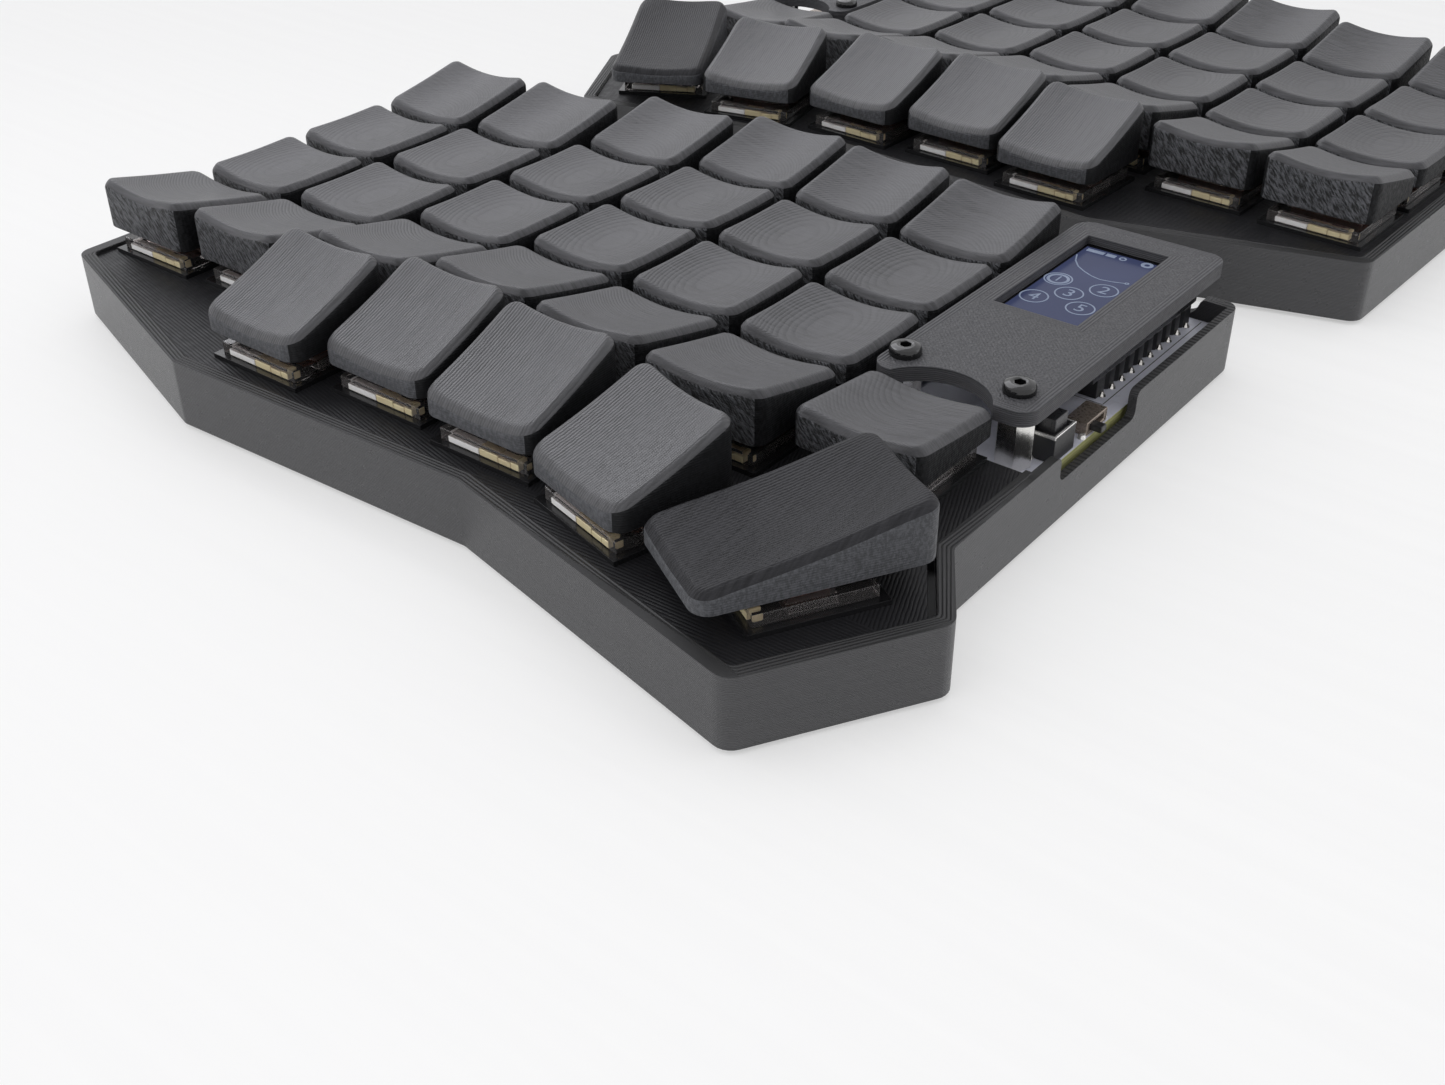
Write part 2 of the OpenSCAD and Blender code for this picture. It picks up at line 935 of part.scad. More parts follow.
left_case();
right_case();
left_switch_plate();
right_switch_plate();
left_main_pcb();
right_main_pcb();
switch_bases();
switch_tops();
switch_contacts();
display_covers();
display_panels();
cover_standoffs();
cover_screws();
case_screws();
rubber_feet();
controller_boards();
pin_headers();
usb_ports();
batteries();
power_switch_bodies();
left_power_slider();
right_power_slider();
reset_button_bodies();
left_reset_plunger();
right_reset_plunger();
left_number_key_1();
left_number_key_2();
left_number_key_3();
left_number_key_4();
left_number_key_5();
left_number_key_6();
left_upper_key_1();
left_upper_key_2();
left_upper_key_3();
left_upper_key_4();
left_upper_key_5();
left_upper_key_6();
left_home_key_1();
left_home_key_2();
left_home_key_3();
left_home_key_4();
left_home_key_5();
left_home_key_6();
left_lower_key_1();
left_lower_key_2();
left_lower_key_3();
left_lower_key_4();
left_lower_key_5();
left_lower_key_6();
left_thumb_key_1();
left_thumb_key_2();
left_thumb_key_3();
left_thumb_key_4();
left_thumb_key_5();
left_inner_key();
right_number_keys();
right_upper_keys();
right_home_keys();
right_lower_keys();
right_thumb_keys();
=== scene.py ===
import math

import bmesh
import bpy
from bpy.props import FloatProperty, FloatVectorProperty, IntProperty, PointerProperty
from mathutils import Matrix, Vector


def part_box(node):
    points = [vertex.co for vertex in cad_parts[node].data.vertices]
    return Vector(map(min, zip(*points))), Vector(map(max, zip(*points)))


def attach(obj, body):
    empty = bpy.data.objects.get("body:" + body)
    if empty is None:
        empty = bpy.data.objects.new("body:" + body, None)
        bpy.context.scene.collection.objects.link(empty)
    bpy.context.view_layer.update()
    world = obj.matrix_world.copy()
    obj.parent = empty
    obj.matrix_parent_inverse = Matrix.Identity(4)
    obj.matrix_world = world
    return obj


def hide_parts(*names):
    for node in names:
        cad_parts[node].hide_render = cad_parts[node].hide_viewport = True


bl_info = {
    "name": "Split keyboard",
    "version": (1, 0, 0),
    "blender": (4, 5, 0),
    "location": "View3D > Sidebar > Keyboard",
    "description": "Dresses the solids of a low profile split keyboard with their finished pieces",
    "category": "Object",
}

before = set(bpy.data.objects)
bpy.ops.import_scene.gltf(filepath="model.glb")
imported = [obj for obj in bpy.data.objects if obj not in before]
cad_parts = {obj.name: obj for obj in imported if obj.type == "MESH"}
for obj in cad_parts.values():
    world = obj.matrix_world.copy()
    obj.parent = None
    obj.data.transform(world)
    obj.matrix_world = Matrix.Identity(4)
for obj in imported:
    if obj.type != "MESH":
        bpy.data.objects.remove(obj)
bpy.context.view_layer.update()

MM = 0.001
HALVES = ("left", "right")
BASE = "base"

# Angles in degrees, and places in millimetres from the left half's outer key
EDGE_ANGLE = 34
PIN_PITCH = 2.54
RIM_WIDTH = 1.8
CASE_FRONT = ((-10.6, -11.6), (26.1, -23.5), (72.9, -21.7), (116.5, -31.3))
COVER_MIDDLE, COVER_SIZE = (109.5, 42.2), (20.4, 50.4)
WINDOW_MIDDLE, WINDOW_SIZE = (108.0, 51.1), (11.1, 24.0)
SCREEN_MIDDLE, SCREEN_SIZE = (107.9, 50.9), (10.3, 23.0)
NUMBER_PLACES = (
    ("1", 104.5, 51.4), ("2", 110.6, 51.7), ("3", 107.55, 48.5), ("4", 104.5, 45.3), ("5", 110.6, 45.6),
)
GRAPH_LINE = (
    (102.9, 59.3), (103.6, 57.6), (104.7, 56.2), (106.0, 55.3),
    (107.4, 54.6), (108.7, 54.3), (110.2, 54.6), (111.6, 55.1),
)

# More or less light by its level direction, the lamps that only gloss shows, and the photo's camera
LIGHT_SHARES = ((-0.6, -0.8, 0.7), (0.8, -0.6, -0.8), (-0.7, 0.7, -0.4))
SHEEN_LAMPS = (
    ("left", (-0.72, 0.10, 0.69), 0.8, 34),
    ("back left", (-0.56, 0.50, 0.66), 0.5, 36),
    ("back right", (0.70, 0.60, 0.39), 0.3, 40),
)
TABLE_VEIL = 0.45
CAMERA_PLACE = (0.127276, -0.195899, 0.102703)
CAMERA_TURN = (56.03956, 0.36879, 38.00549)
CAMERA_LENS = 41.4886


def length(label, note, value):
    return FloatProperty(name=label, description=note, default=value, unit="LENGTH", precision=5)


def lengths(label, note, values):
    return FloatVectorProperty(
        name=label, description=note, default=values, size=len(values), unit="LENGTH", precision=5
    )


def colour(label, note, value):
    return FloatVectorProperty(
        name=label, description=note, default=value, size=3, subtype="COLOR", min=0.0, max=1.0
    )


CAP_NOTE = (
    "Width, depth, front height, back height, dish depth, dish radius across, "
    "dish radius along and corner radius, heights from the plate"
)


class KeyboardSizes(bpy.types.PropertyGroup):
    """Sizes of the keyboard's pieces"""

    pair_middle: lengths(
        "Pair middle", "The pair's middle, from the left half's outer key", (0.06147098, 0.07288418)
    )
    pair_place: lengths("Right half", "The right half's outer key, from the left one's", (0.1203, 0.1026))
    pair_turn: FloatProperty(
        name="Right half turn", description="Turn of the right half on the table",
        default=math.radians(-2.5), unit="ROTATION",
    )
    thumb_turns: FloatVectorProperty(
        name="Thumb turns", description="Turn of each thumb key, from the outer one", size=5,
        default=(0, 0, 0, math.radians(-15), math.radians(-30)), unit="ROTATION",
    )
    number_cap: lengths("Number cap", CAP_NOTE, (0.0164, 0.0154, 0.0072, 0.01, 0.0011, 0.027, 0.09, 0.00095))
    middle_cap: lengths("Middle cap", CAP_NOTE, (0.0164, 0.0154, 0.0074, 0.0074, 0.0012, 0.027, 0.09, 0.00095))
    lower_cap: lengths("Lower cap", CAP_NOTE, (0.0164, 0.0154, 0.0107, 0.0071, 0.001, 0.027, 0.09, 0.00095))
    inner_cap: lengths("Inner cap", CAP_NOTE, (0.0164, 0.0154, 0.0086, 0.0068, 0.0009, 0.027, 0.09, 0.00095))
    thumb_cap: lengths("Thumb cap", CAP_NOTE, (0.0164, 0.0154, 0.0067, 0.0128, 0.0011, 0.034, 0.08, 0.0013))
    long_cap: lengths("Long thumb cap", CAP_NOTE, (0.0154, 0.0254, 0.0062, 0.0109, 0.001, 0.034, 0.1, 0.0013))
    rim_inset: length("Rim inset", "How far the cap's rim line lies inside its wall", 0.0008)
    rim_drop: length("Rim drop", "How far the cap's bevel falls from the rim line to the wall", 0.0009)
    rim_soft: length("Rim softness", "Rounding of the lines beside the cap's bevel", 0.00032)
    skirt: length("Skirt", "Height of the cap's lower edge above the plate", 0.0038)
    roof: length("Roof", "Height of the cap's hollow above the plate", 0.0053)
    cap_wall: length("Cap wall", "Thickness of the cap's wall", 0.0009)
    cap_steps: IntProperty(
        name="Cap steps", description="Faces along the side of a cap's dish", default=28, min=12
    )
    stem: lengths("Stem", "Width and depth of the stem, then its heights", (0.0102, 0.0045, 0.0016, 0.00527))
    edge: length("Case edge", "Rounding of the printed edges", 0.0002)
    cover_edge: length("Cover edge", "Rounding of the display cover's edges", 0.0002)


class KeyboardFinishes(bpy.types.PropertyGroup):
    """Colours of the keyboard's materials"""

    case: colour("Case", "Printed case shells", (0.055, 0.055, 0.058))
    plate: colour("Plate", "Printed switch plates", (0.012, 0.012, 0.0135))
    cover: colour("Cover", "Printed display covers", (0.058, 0.058, 0.063))
    cap: colour("Cap", "Tops of the key caps", (0.060, 0.060, 0.065))
    # Painted shade: the long thumb tops are the same plastic as the other tops, painted half as light.
    long_cap: colour("Long cap", "Tops of the long thumb caps", (0.030, 0.030, 0.033))
    # Painted shade: the caps' walls are the same plastic as the tops, painted about six times darker for the
    # shade in the gaps between keys.
    cap_wall: colour("Cap wall", "Walls of the key caps", (0.0095, 0.0098, 0.0108))
    clear: colour("Clear plastic", "Switch housings", (0.90, 0.85, 0.84))
    stem: colour("Stem", "Sliding stems", (0.20, 0.060, 0.035))
    contact: colour("Contact", "Plated contact strips", (0.95, 0.77, 0.48))
    diffuser: colour("Diffuser", "Pale strips beside the contacts", (0.95, 0.92, 0.88))
    board: colour("Board", "White solder mask", (0.70, 0.71, 0.80))
    board_edge: colour("Board edge", "Bare glass fibre edge of the boards", (0.38, 0.38, 0.16))
    screen: colour("Screen", "Lit display ground", (0.034, 0.043, 0.098))
    marks: colour("Marks", "Lit display marks", (0.20, 0.24, 0.33))
    steel: colour("Steel", "Bright metal pieces", (0.66, 0.64, 0.61))
    black: colour("Black", "Moulded black pieces and screws", (0.012, 0.012, 0.013))
    rubber: colour("Rubber", "Feet", (0.02, 0.02, 0.02))
    standoff: colour("Standoff", "Posts under the display covers", (0.80, 0.79, 0.76))
    can: colour("Can", "Cans of the power switches", (0.30, 0.25, 0.21))
    legs: colour("Legs", "Legs and frames of the side switches", (0.75, 0.74, 0.72))
    plunger: colour("Plunger", "Plungers of the reset buttons", (0.035, 0.035, 0.038))
    floor: colour("Floor", "Pale table", (0.955, 0.955, 0.95))


def sizes():
    return bpy.context.scene.keyboard_sizes


def finishes():
    return bpy.context.scene.keyboard_finishes


# Places

def half_matrix(half):
    """From a half's own place, as the left half lies, to the pair"""
    s = sizes()
    middle = Vector((*s.pair_middle, 0))
    if half == "left":
        return Matrix.Translation(-middle)
    place = Matrix.Translation(Vector((*s.pair_place, 0)) - middle)
    return place @ Matrix.Rotation(s.pair_turn, 4, "Z") @ Matrix.Scale(-1, 4, (1, 0, 0))


def top_of(node):
    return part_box(node)[1].z


def solids_of(node):
    """Lowest and highest corners of each solid in a node"""
    bm = copy_of(node)
    left, boxes = set(bm.verts), []
    while left:
        found, queue = [], [left.pop()]
        while queue:
            vert = queue.pop()
            found.append(vert.co)
            fresh = {e.other_vert(vert) for e in vert.link_edges} & left
            left -= fresh
            queue.extend(fresh)
        low = Vector(min(co[i] for co in found) for i in range(3))
        high = Vector(max(co[i] for co in found) for i in range(3))
        boxes.append((low, high))
    bm.free()
    return sorted(boxes, key=lambda box: tuple(box[0]))


def stands_of(node):
    """Place on the table and turn of each solid in a node"""
    stands = []
    for low, high in solids_of(node):
        middle = (low + high) / 2
        turn = sizes().pair_turn if middle.y > 0 else 0.0
        stands.append(Matrix.Translation((middle.x, middle.y, 0)) @ Matrix.Rotation(turn, 4, "Z"))
    return stands


def left_boxes(node):
    """Boxes of the left half's solids in a node, as the half's own places"""
    shift = half_matrix("left").inverted()
    return [(shift @ low, shift @ high) for low, high in solids_of(node) if (low + high).y < 0]


def key_rows():
    """Row name, its left nodes with their cap form and turn, and its right node"""
    rows = []
    for row, form in (("number", "number"), ("upper", "middle"), ("home", "middle"), ("lower", "lower")):
        keys = [(f"left_{row}_key_{c}", form, 0.0) for c in range(1, 7)]
        if row == "lower":
            keys.append(("left_inner_key", "inner", 0.0))
        rows.append((row, keys, f"right_{row}_keys"))
    turns = sizes().thumb_turns
    thumbs = [(f"left_thumb_key_{c}", "long" if c == 5 else "thumb", turns[c - 1]) for c in range(1, 6)]
    rows.append(("thumb", thumbs, "right_thumb_keys"))
    return rows


def key_matrix(half, node, turn):
    """Place of a key; caps and switches are the same in both halves, so they are turned and not mirrored"""
    low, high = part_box(node)
    spot = (low + high) / 2
    if half == "right":
        spot = half_matrix("right") @ half_matrix("left").inverted() @ spot
        turn = sizes().pair_turn - turn
    spot.z = top_of("left_switch_plate")
    return Matrix.Translation(spot) @ Matrix.Rotation(turn, 4, "Z")


# Mesh helpers

def new_piece(name, bm, body, nodes=(), slot=None, materials=(), sharp=EDGE_ANGLE, bevel=0.0):
    """Makes a piece of bm that rides on a body and stands for the nodes named"""
    mesh = bpy.data.meshes.new(name)
    bm.to_mesh(mesh)
    bm.free()
    for face in mesh.polygons:
        face.use_smooth = True
    mesh.set_sharp_from_angle(angle=math.radians(sharp))
    for material in materials:
        mesh.materials.append(material)
    obj = bpy.data.objects.new(name, mesh)
    bpy.context.scene.collection.objects.link(obj)
    if bevel:
        soft = obj.modifiers.new("Soft edges", "BEVEL")
        soft.width = bevel
        soft.segments = 2
        soft.limit_method = "ANGLE"
        soft.angle_limit = math.radians(EDGE_ANGLE)
        soft.harden_normals = True
    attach(obj, body)
    if nodes:
        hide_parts(*nodes)
    return obj


def copy_of(node):
    """Merged copy of a node's mesh, with its flat faces joined"""
    bm = bmesh.new()
    bm.from_mesh(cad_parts[node].data)
    bmesh.ops.remove_doubles(bm, verts=bm.verts[:], dist=2e-6)
    bmesh.ops.dissolve_limit(bm, angle_limit=math.radians(0.6), verts=bm.verts[:], edges=bm.edges[:])
    for face in bm.faces:
        face.material_index = 0
    return bm


def dress_node(name, node, slot, finish, bevel, body=BASE):
    """A copy of a node with softened edges and a finish"""
    return new_piece(name, copy_of(node), body, [node], slot, [finish], bevel=bevel)


def add_copy(bm, shape, matrix):
    """Adds a shape to bm at a place, turned the right way out"""
    part = shape.copy()
    bmesh.ops.transform(part, matrix=matrix, verts=part.verts[:])
    if matrix.determinant() < 0:
        bmesh.ops.reverse_faces(part, faces=part.faces[:])
    mesh = bpy.data.meshes.new("shape")
    part.to_mesh(mesh)
    part.free()
    bm.from_mesh(mesh)
    bpy.data.meshes.remove(mesh)


def at_each(shape, matrices):
    """Copies of a shape at several places"""
    bm = bmesh.new()
    for matrix in matrices:
        add_copy(bm, shape, matrix)
    shape.free()
    return bm


def both(shape):
    """A shape of the left half, for both halves"""
    return at_each(shape, [half_matrix(half) for half in HALVES])


def next_ring(bm, edges, move):
    """Extrudes an open edge loop and moves the new loop"""
    made = bmesh.ops.extrude_edge_only(bm, edges=edges)["geom"]
    for vert in (g for g in made if isinstance(g, bmesh.types.BMVert)):
        vert.co = move(vert.co)
    return [g for g in made if isinstance(g, bmesh.types.BMEdge) and g.is_boundary]


def close_ring(bm, edges):
    bmesh.ops.holes_fill(bm, edges=edges, sides=0)


def soften(bm, edges, offset, segments):
    bmesh.ops.bevel(
        bm, geom=edges, offset=offset, offset_type="OFFSET", segments=segments, profile=0.5,
        affect="EDGES", material=-1, clamp_overlap=True,
    )


def add_block(bm, low, high, index=0, bevel=0.1, segments=1):
    """A bevelled block between two corners, in millimetres"""
    block = bmesh.new()
    for vert in bmesh.ops.create_cube(block, size=1.0)["verts"]:
        vert.co = [(low[i] + (vert.co[i] + 0.5) * (high[i] - low[i])) * MM for i in range(3)]
    block.normal_update()
    for face in block.faces:
        face.material_index = index
    soften(block, block.edges[:], bevel * MM, segments)
    add_copy(bm, block, Matrix.Identity(4))
    block.free()


def ring_stack(rings, steps=24):
    """Closed stack of rings of radius and height in millimetres; a radius may follow the angle"""
    bm = bmesh.new()

    def at(radius, height):
        def move(co):
            angle = math.atan2(co.y, co.x)
            r = radius(angle) if callable(radius) else radius
            return Vector((r * math.cos(angle), r * math.sin(angle), height)) * MM
        return move

    verts = bmesh.ops.create_circle(bm, cap_ends=True, segments=steps, radius=MM)["verts"]
    move = at(*rings[0])
    for vert in verts:
        vert.co = move(vert.co)
    edges = bm.edges[:]
    for ring in rings[1:]:
        edges = next_ring(bm, edges, at(*ring))
    close_ring(bm, edges)
    bmesh.ops.recalc_face_normals(bm, faces=bm.faces[:])
    return bm


def hexagon(corner):
    """Radius of a hexagon by angle"""
    flat = corner * math.cos(math.radians(30))
    return lambda angle: flat / math.cos(angle % math.radians(60) - math.radians(30))


# Node helpers

def put(tree, socket, value):
    if isinstance(value, bpy.types.NodeSocket):
        tree.links.new(value, socket)
    else:
        socket.default_value = value


def calc(tree, operation, *values):
    node = tree.nodes.new("ShaderNodeMath")
    node.operation = operation
    for socket, value in zip(node.inputs, values):
        put(tree, socket, value)
    return node.outputs[0]


def add_node(tree, kind, **values):
    node = tree.nodes.new(kind)
    for key, value in values.items():
        put(tree, node.inputs[key.replace("_", " ").title()], value)
    return node


def split(tree, vector):
    return add_node(tree, "ShaderNodeSeparateXYZ", vector=vector).outputs


def blend(tree, factor, a, b):
    node = tree.nodes.new("ShaderNodeMix")
    node.data_type = "RGBA"
    put(tree, node.inputs[0], factor)
    for socket, value in ((node.inputs[6], a), (node.inputs[7], b)):
        put(tree, socket, value if isinstance(value, bpy.types.NodeSocket) else (*value, 1.0))
    return node.outputs[2]


def mix_values(tree, factor, a, b):
    node = tree.nodes.new("ShaderNodeMix")
    for index, value in ((0, factor), (2, a), (3, b)):
        put(tree, node.inputs[index], value)
    return node.outputs[0]


def ramp(tree, value, low, high, to_low=0.0, to_high=1.0):
    node = tree.nodes.new("ShaderNodeMapRange")
    for socket, item in zip(node.inputs, (value, low, high, to_low, to_high)):
        put(tree, socket, item)
    return node.outputs[0]


def plain_view(tree):
    """1 for what the camera, a reflection or a clear piece shows, 0 for light that falls on the object"""
    path = tree.nodes.new("ShaderNodeLightPath").outputs
    mirrored = calc(tree, "MAXIMUM", path["Is Glossy Ray"], path["Is Transmission Ray"])
    return calc(tree, "MAXIMUM", path["Is Camera Ray"], mirrored)


def ridges(tree, value, spacing):
    """Rounded ridges, one for each step of spacing"""
    return calc(tree, "ABSOLUTE", calc(tree, "SINE", calc(tree, "MULTIPLY", value, math.pi / spacing)))


def outside(tree, axes, middle, size):
    """Distance outside a rectangle, below 0 within it"""
    gaps = []
    for axis, place, wide in zip(axes, middle, size):
        away = calc(tree, "ABSOLUTE", calc(tree, "SUBTRACT", axis, place))
        gaps.append(calc(tree, "SUBTRACT", away, wide / 2))
    return calc(tree, "MAXIMUM", *gaps)


def group(name, inputs, output):
    """Empty node group, with its inputs and the socket that its result goes into"""
    tree = bpy.data.node_groups.new(name, "ShaderNodeTree")
    for label, kind, value in inputs:
        socket = tree.interface.new_socket(label, in_out="INPUT", socket_type="NodeSocket" + kind)
        if value is not None:
            socket.default_value = value
    tree.interface.new_socket(output, in_out="OUTPUT", socket_type="NodeSocketFloat")
    return tree, tree.nodes.new("NodeGroupInput").outputs, tree.nodes.new("NodeGroupOutput").inputs[output]


def use_group(tree, name, **values):
    node = tree.nodes.new("ShaderNodeGroup")
    node.node_tree = bpy.data.node_groups[name]
    for key, value in values.items():
        put(tree, node.inputs[key.replace("_", " ").title()], value)
    return node.outputs[0]


def make_print_groups():
    """Print layers, print lines, fuzzy skin and dust, all in millimetres"""
    tree, given, out = group("print layers", (("Vector", "Vector", None), ("Layer", "Float", 0.2)), "Height")
    drift = add_node(tree, "ShaderNodeTexNoise", vector=given["Vector"], scale=0.25, detail=2.0).outputs[0]
    count = calc(tree, "DIVIDE", split(tree, given["Vector"])[2], given["Layer"])
    count = calc(tree, "ADD", count, calc(tree, "MULTIPLY", drift, 0.8))
    odd = tree.nodes.new("ShaderNodeTexWhiteNoise")
    odd.noise_dimensions = "1D"
    put(tree, odd.inputs["W"], calc(tree, "FLOOR", count))
    wave = ridges(tree, count, 1.0)
    uneven = calc(tree, "MULTIPLY", odd.outputs[0], 0.35)
    put(tree, out, calc(tree, "ADD", calc(tree, "MULTIPLY", wave, 0.65), uneven))

    tree, given, out = group(
        "print lines",
        (
            ("Vector", "Vector", None), ("Across X", "Float", 0.7),
            ("Across Y", "Float", 0.7), ("Spacing", "Float", 0.42),
        ),
        "Height",
    )
    axes = split(tree, given["Vector"])
    along_x = calc(tree, "MULTIPLY", axes[0], given["Across X"])
    run = calc(tree, "ADD", along_x, calc(tree, "MULTIPLY", axes[1], given["Across Y"]))
    shake = add_node(tree, "ShaderNodeTexNoise", vector=given["Vector"], scale=1.1, detail=2.0).outputs[0]
    count = calc(tree, "ADD", calc(tree, "DIVIDE", run, given["Spacing"]), calc(tree, "MULTIPLY", shake, 0.6))
    put(tree, out, ridges(tree, count, 1.0))

    tree, given, out = group(
        "fuzzy skin", (("Vector", "Vector", None), ("Scale", "Float", 3.0), ("Tall", "Float", 0.35)), "Height"
    )
    axes = split(tree, given["Vector"])
    height = calc(tree, "MULTIPLY", axes[2], given["Tall"])
    low = add_node(tree, "ShaderNodeCombineXYZ", x=axes[0], y=axes[1], z=height)
    grain = add_node(
        tree, "ShaderNodeTexNoise", vector=low.outputs[0], scale=given["Scale"], detail=3.0, roughness=0.65
    )
    put(tree, out, grain.outputs[0])

    tree, given, out = group("dust", (("Vector", "Vector", None), ("Scale", "Float", 0.9)), "Mask")
    cells = add_node(tree, "ShaderNodeTexVoronoi", vector=given["Vector"], scale=given["Scale"]).outputs
    some = add_node(tree, "ShaderNodeSeparateColor", color=cells["Color"]).outputs[0]
    spot = calc(tree, "LESS_THAN", cells["Distance"], 0.05)
    put(tree, out, calc(tree, "MULTIPLY", spot, calc(tree, "GREATER_THAN", some, 0.75)))


class Finish:
    """A material with its shader, and its place in millimetres on the table or in a half"""

    def __init__(self, name, half=None, **plain):
        self.material = bpy.data.materials.new(name)
        self.material.use_nodes = True
        self.tree = self.material.node_tree
        self.shader = self.tree.nodes["Principled BSDF"]
        for key, value in plain.items():
            self.set(key, value)
        place = self.tree.nodes.new("ShaderNodeMapping")
        side = -1 if half == "right" else 1
        place.inputs["Scale"].default_value = (side / MM, 1 / MM, 1 / MM)
        if half:
            place.inputs["Location"].default_value = half_matrix(half).inverted().translation / MM
        if half == "right":
            place.inputs["Rotation"].default_value = (0, 0, sizes().pair_turn)
        coordinates = self.tree.nodes.new("ShaderNodeTexCoord")
        self.tree.links.new(coordinates.outputs["Object"], place.inputs["Vector"])
        self.place = place.outputs[0]

    def set(self, key, value):
        socket = self.shader.inputs[key.replace("_", " ").title().replace("Ior", "IOR")]
        if not isinstance(value, bpy.types.NodeSocket) and socket.type == "RGBA":
            value = (*value, 1.0)
        put(self.tree, socket, value)

    def noise(self, scale, detail=3.0):
        node = add_node(self.tree, "ShaderNodeTexNoise", vector=self.place, scale=scale, detail=detail)
        return node.outputs[0]

    def stored(self, name, output="Fac"):
        """A value stored on the mesh"""
        node = self.tree.nodes.new("ShaderNodeAttribute")
        node.attribute_name = name
        return node.outputs[output]

    def facing_up(self):
        """1 on faces that look up, 0 on walls"""
        normal = self.tree.nodes.new("ShaderNodeNewGeometry").outputs["True Normal"]
        return ramp(self.tree, split(self.tree, normal)[2], 0.75, 0.95)

    def tint(self, low, mask, high):
        self.set("base_color", blend(self.tree, mask, low, high))

    def rough(self, mask, low, high):
        self.set("roughness", ramp(self.tree, mask, 0.3, 0.7, low, high))

    def bump(self, height, strength, depth):
        """Adds a bump over the ones before it, with its depth in millimetres"""
        linked = isinstance(depth, bpy.types.NodeSocket)
        depth = calc(self.tree, "MULTIPLY", depth, MM) if linked else depth * MM
        node = add_node(self.tree, "ShaderNodeBump", height=height, strength=strength, distance=depth)
        normal = self.shader.inputs["Normal"]
        if normal.is_linked:
            self.tree.links.new(normal.links[0].from_socket, node.inputs["Normal"])
        self.tree.links.new(node.outputs[0], normal)


def shade(colour, factor):
    return tuple(min(1.0, c * factor) for c in colour)


# Finishes

def printed_case(half):
    tone = finishes().case
    f = Finish(f"printed case {half}", half)
    t = f.tree
    up = f.facing_up()
    walls = use_group(t, "print layers", vector=f.place, layer=0.2)
    axes = split(t, f.place)
    side = calc(t, "MULTIPLY", calc(t, "GREATER_THAN", axes[0], 119.8), calc(t, "GREATER_THAN", axes[1], 21.0))
    lines = mix_values(t, side, ridges(t, f.stored("rim"), 0.45), ridges(t, axes[1], 0.8))
    # Painted light: the walls are painted several times lighter than the up-facing rim, as painted sheen of the
    # bright table on the walls and painted shade on the rim tops. The print layers and rim lines tint their
    # ridges lighter and their grooves darker, partly the print's own lines and partly painted shade.
    painted_wall_sheen_tone = blend(t, walls, shade(tone, 0.8), shade(tone, 1.2))
    f.set("base_color", blend(t, up, painted_wall_sheen_tone, blend(t, lines, shade(tone, 0.15), shade(tone, 0.5))))
    f.set("roughness", mix_values(t, up, ramp(t, f.noise(0.8), 0.3, 0.7, 0.27, 0.31), 0.6))
    f.bump(calc(t, "MULTIPLY", lines, up), 0.9, mix_values(t, side, 0.15, 0.28))
    f.bump(calc(t, "MULTIPLY", walls, calc(t, "SUBTRACT", 1.0, up)), 1.0, 0.1)
    f.bump(f.noise(6.0), 0.15, 0.04)
    return f.material


def front_distance(f):
    """Distance from the nearest of the case's three front edges, in millimetres"""
    t = f.tree
    axes = split(t, f.place)
    nearest = None
    for (ax, ay), (bx, by) in zip(CASE_FRONT, CASE_FRONT[1:]):
        run = math.hypot(bx - ax, by - ay)
        nx, ny = (ay - by) / run, (bx - ax) / run
        away = calc(t, "ADD", calc(t, "MULTIPLY", axes[0], nx), calc(t, "MULTIPLY", axes[1], ny))
        away = calc(t, "SUBTRACT", away, nx * ax + ny * ay)
        nearest = calc(t, "MINIMUM", nearest, away) if nearest else away
    return nearest


def printed_plate(half):
    tone = finishes().plate
    f = Finish(f"printed plate {half}", half, specular_ior_level=0.2)
    t = f.tree
    lines = use_group(t, "print lines", vector=f.place, across_x=0.93, across_y=0.37, spacing=0.42)
    front = front_distance(f)
    near = ramp(t, front, 3.4, 3.6, 1.0, 0.0)
    relief = mix_values(t, near, lines, ridges(t, front, 0.45))
    f.tint(shade(tone, 0.5), relief, shade(tone, 1.5))
    f.rough(f.noise(0.8), 0.42, 0.56)
    f.bump(relief, 0.4, 0.1)
    f.bump(f.noise(5.0), 0.15, 0.05)
    return f.material


def printed_cover(half):
    tone = finishes().cover
    f = Finish(f"printed cover {half}", half, specular_ior_level=0.32)
    t = f.tree
    axes = split(t, f.place)
    rim = calc(t, "MULTIPLY", outside(t, axes, COVER_MIDDLE, COVER_SIZE), -1.0)
    edge = calc(t, "MINIMUM", rim, outside(t, axes, WINDOW_MIDDLE, WINDOW_SIZE))
    near = ramp(t, edge, 1.25, 1.35, 1.0, 0.0)
    weave = use_group(t, "print lines", vector=f.place, across_x=0.71, across_y=0.70, spacing=0.40)
    knots = ramp(t, f.noise(2.9, 2.0), 0.38, 0.62)
    weave = calc(t, "ADD", calc(t, "MULTIPLY", weave, 0.35), calc(t, "MULTIPLY", knots, 0.75))
    up = f.facing_up()
    walls = use_group(t, "print layers", vector=f.place, layer=0.24)
    relief = mix_values(t, up, walls, mix_values(t, near, weave, ridges(t, edge, 0.42)))
    f.tint(shade(tone, 0.7), relief, shade(tone, 1.3))
    f.rough(f.noise(1.4), 0.46, 0.6)
    f.bump(relief, 0.75, 0.14)
    return f.material


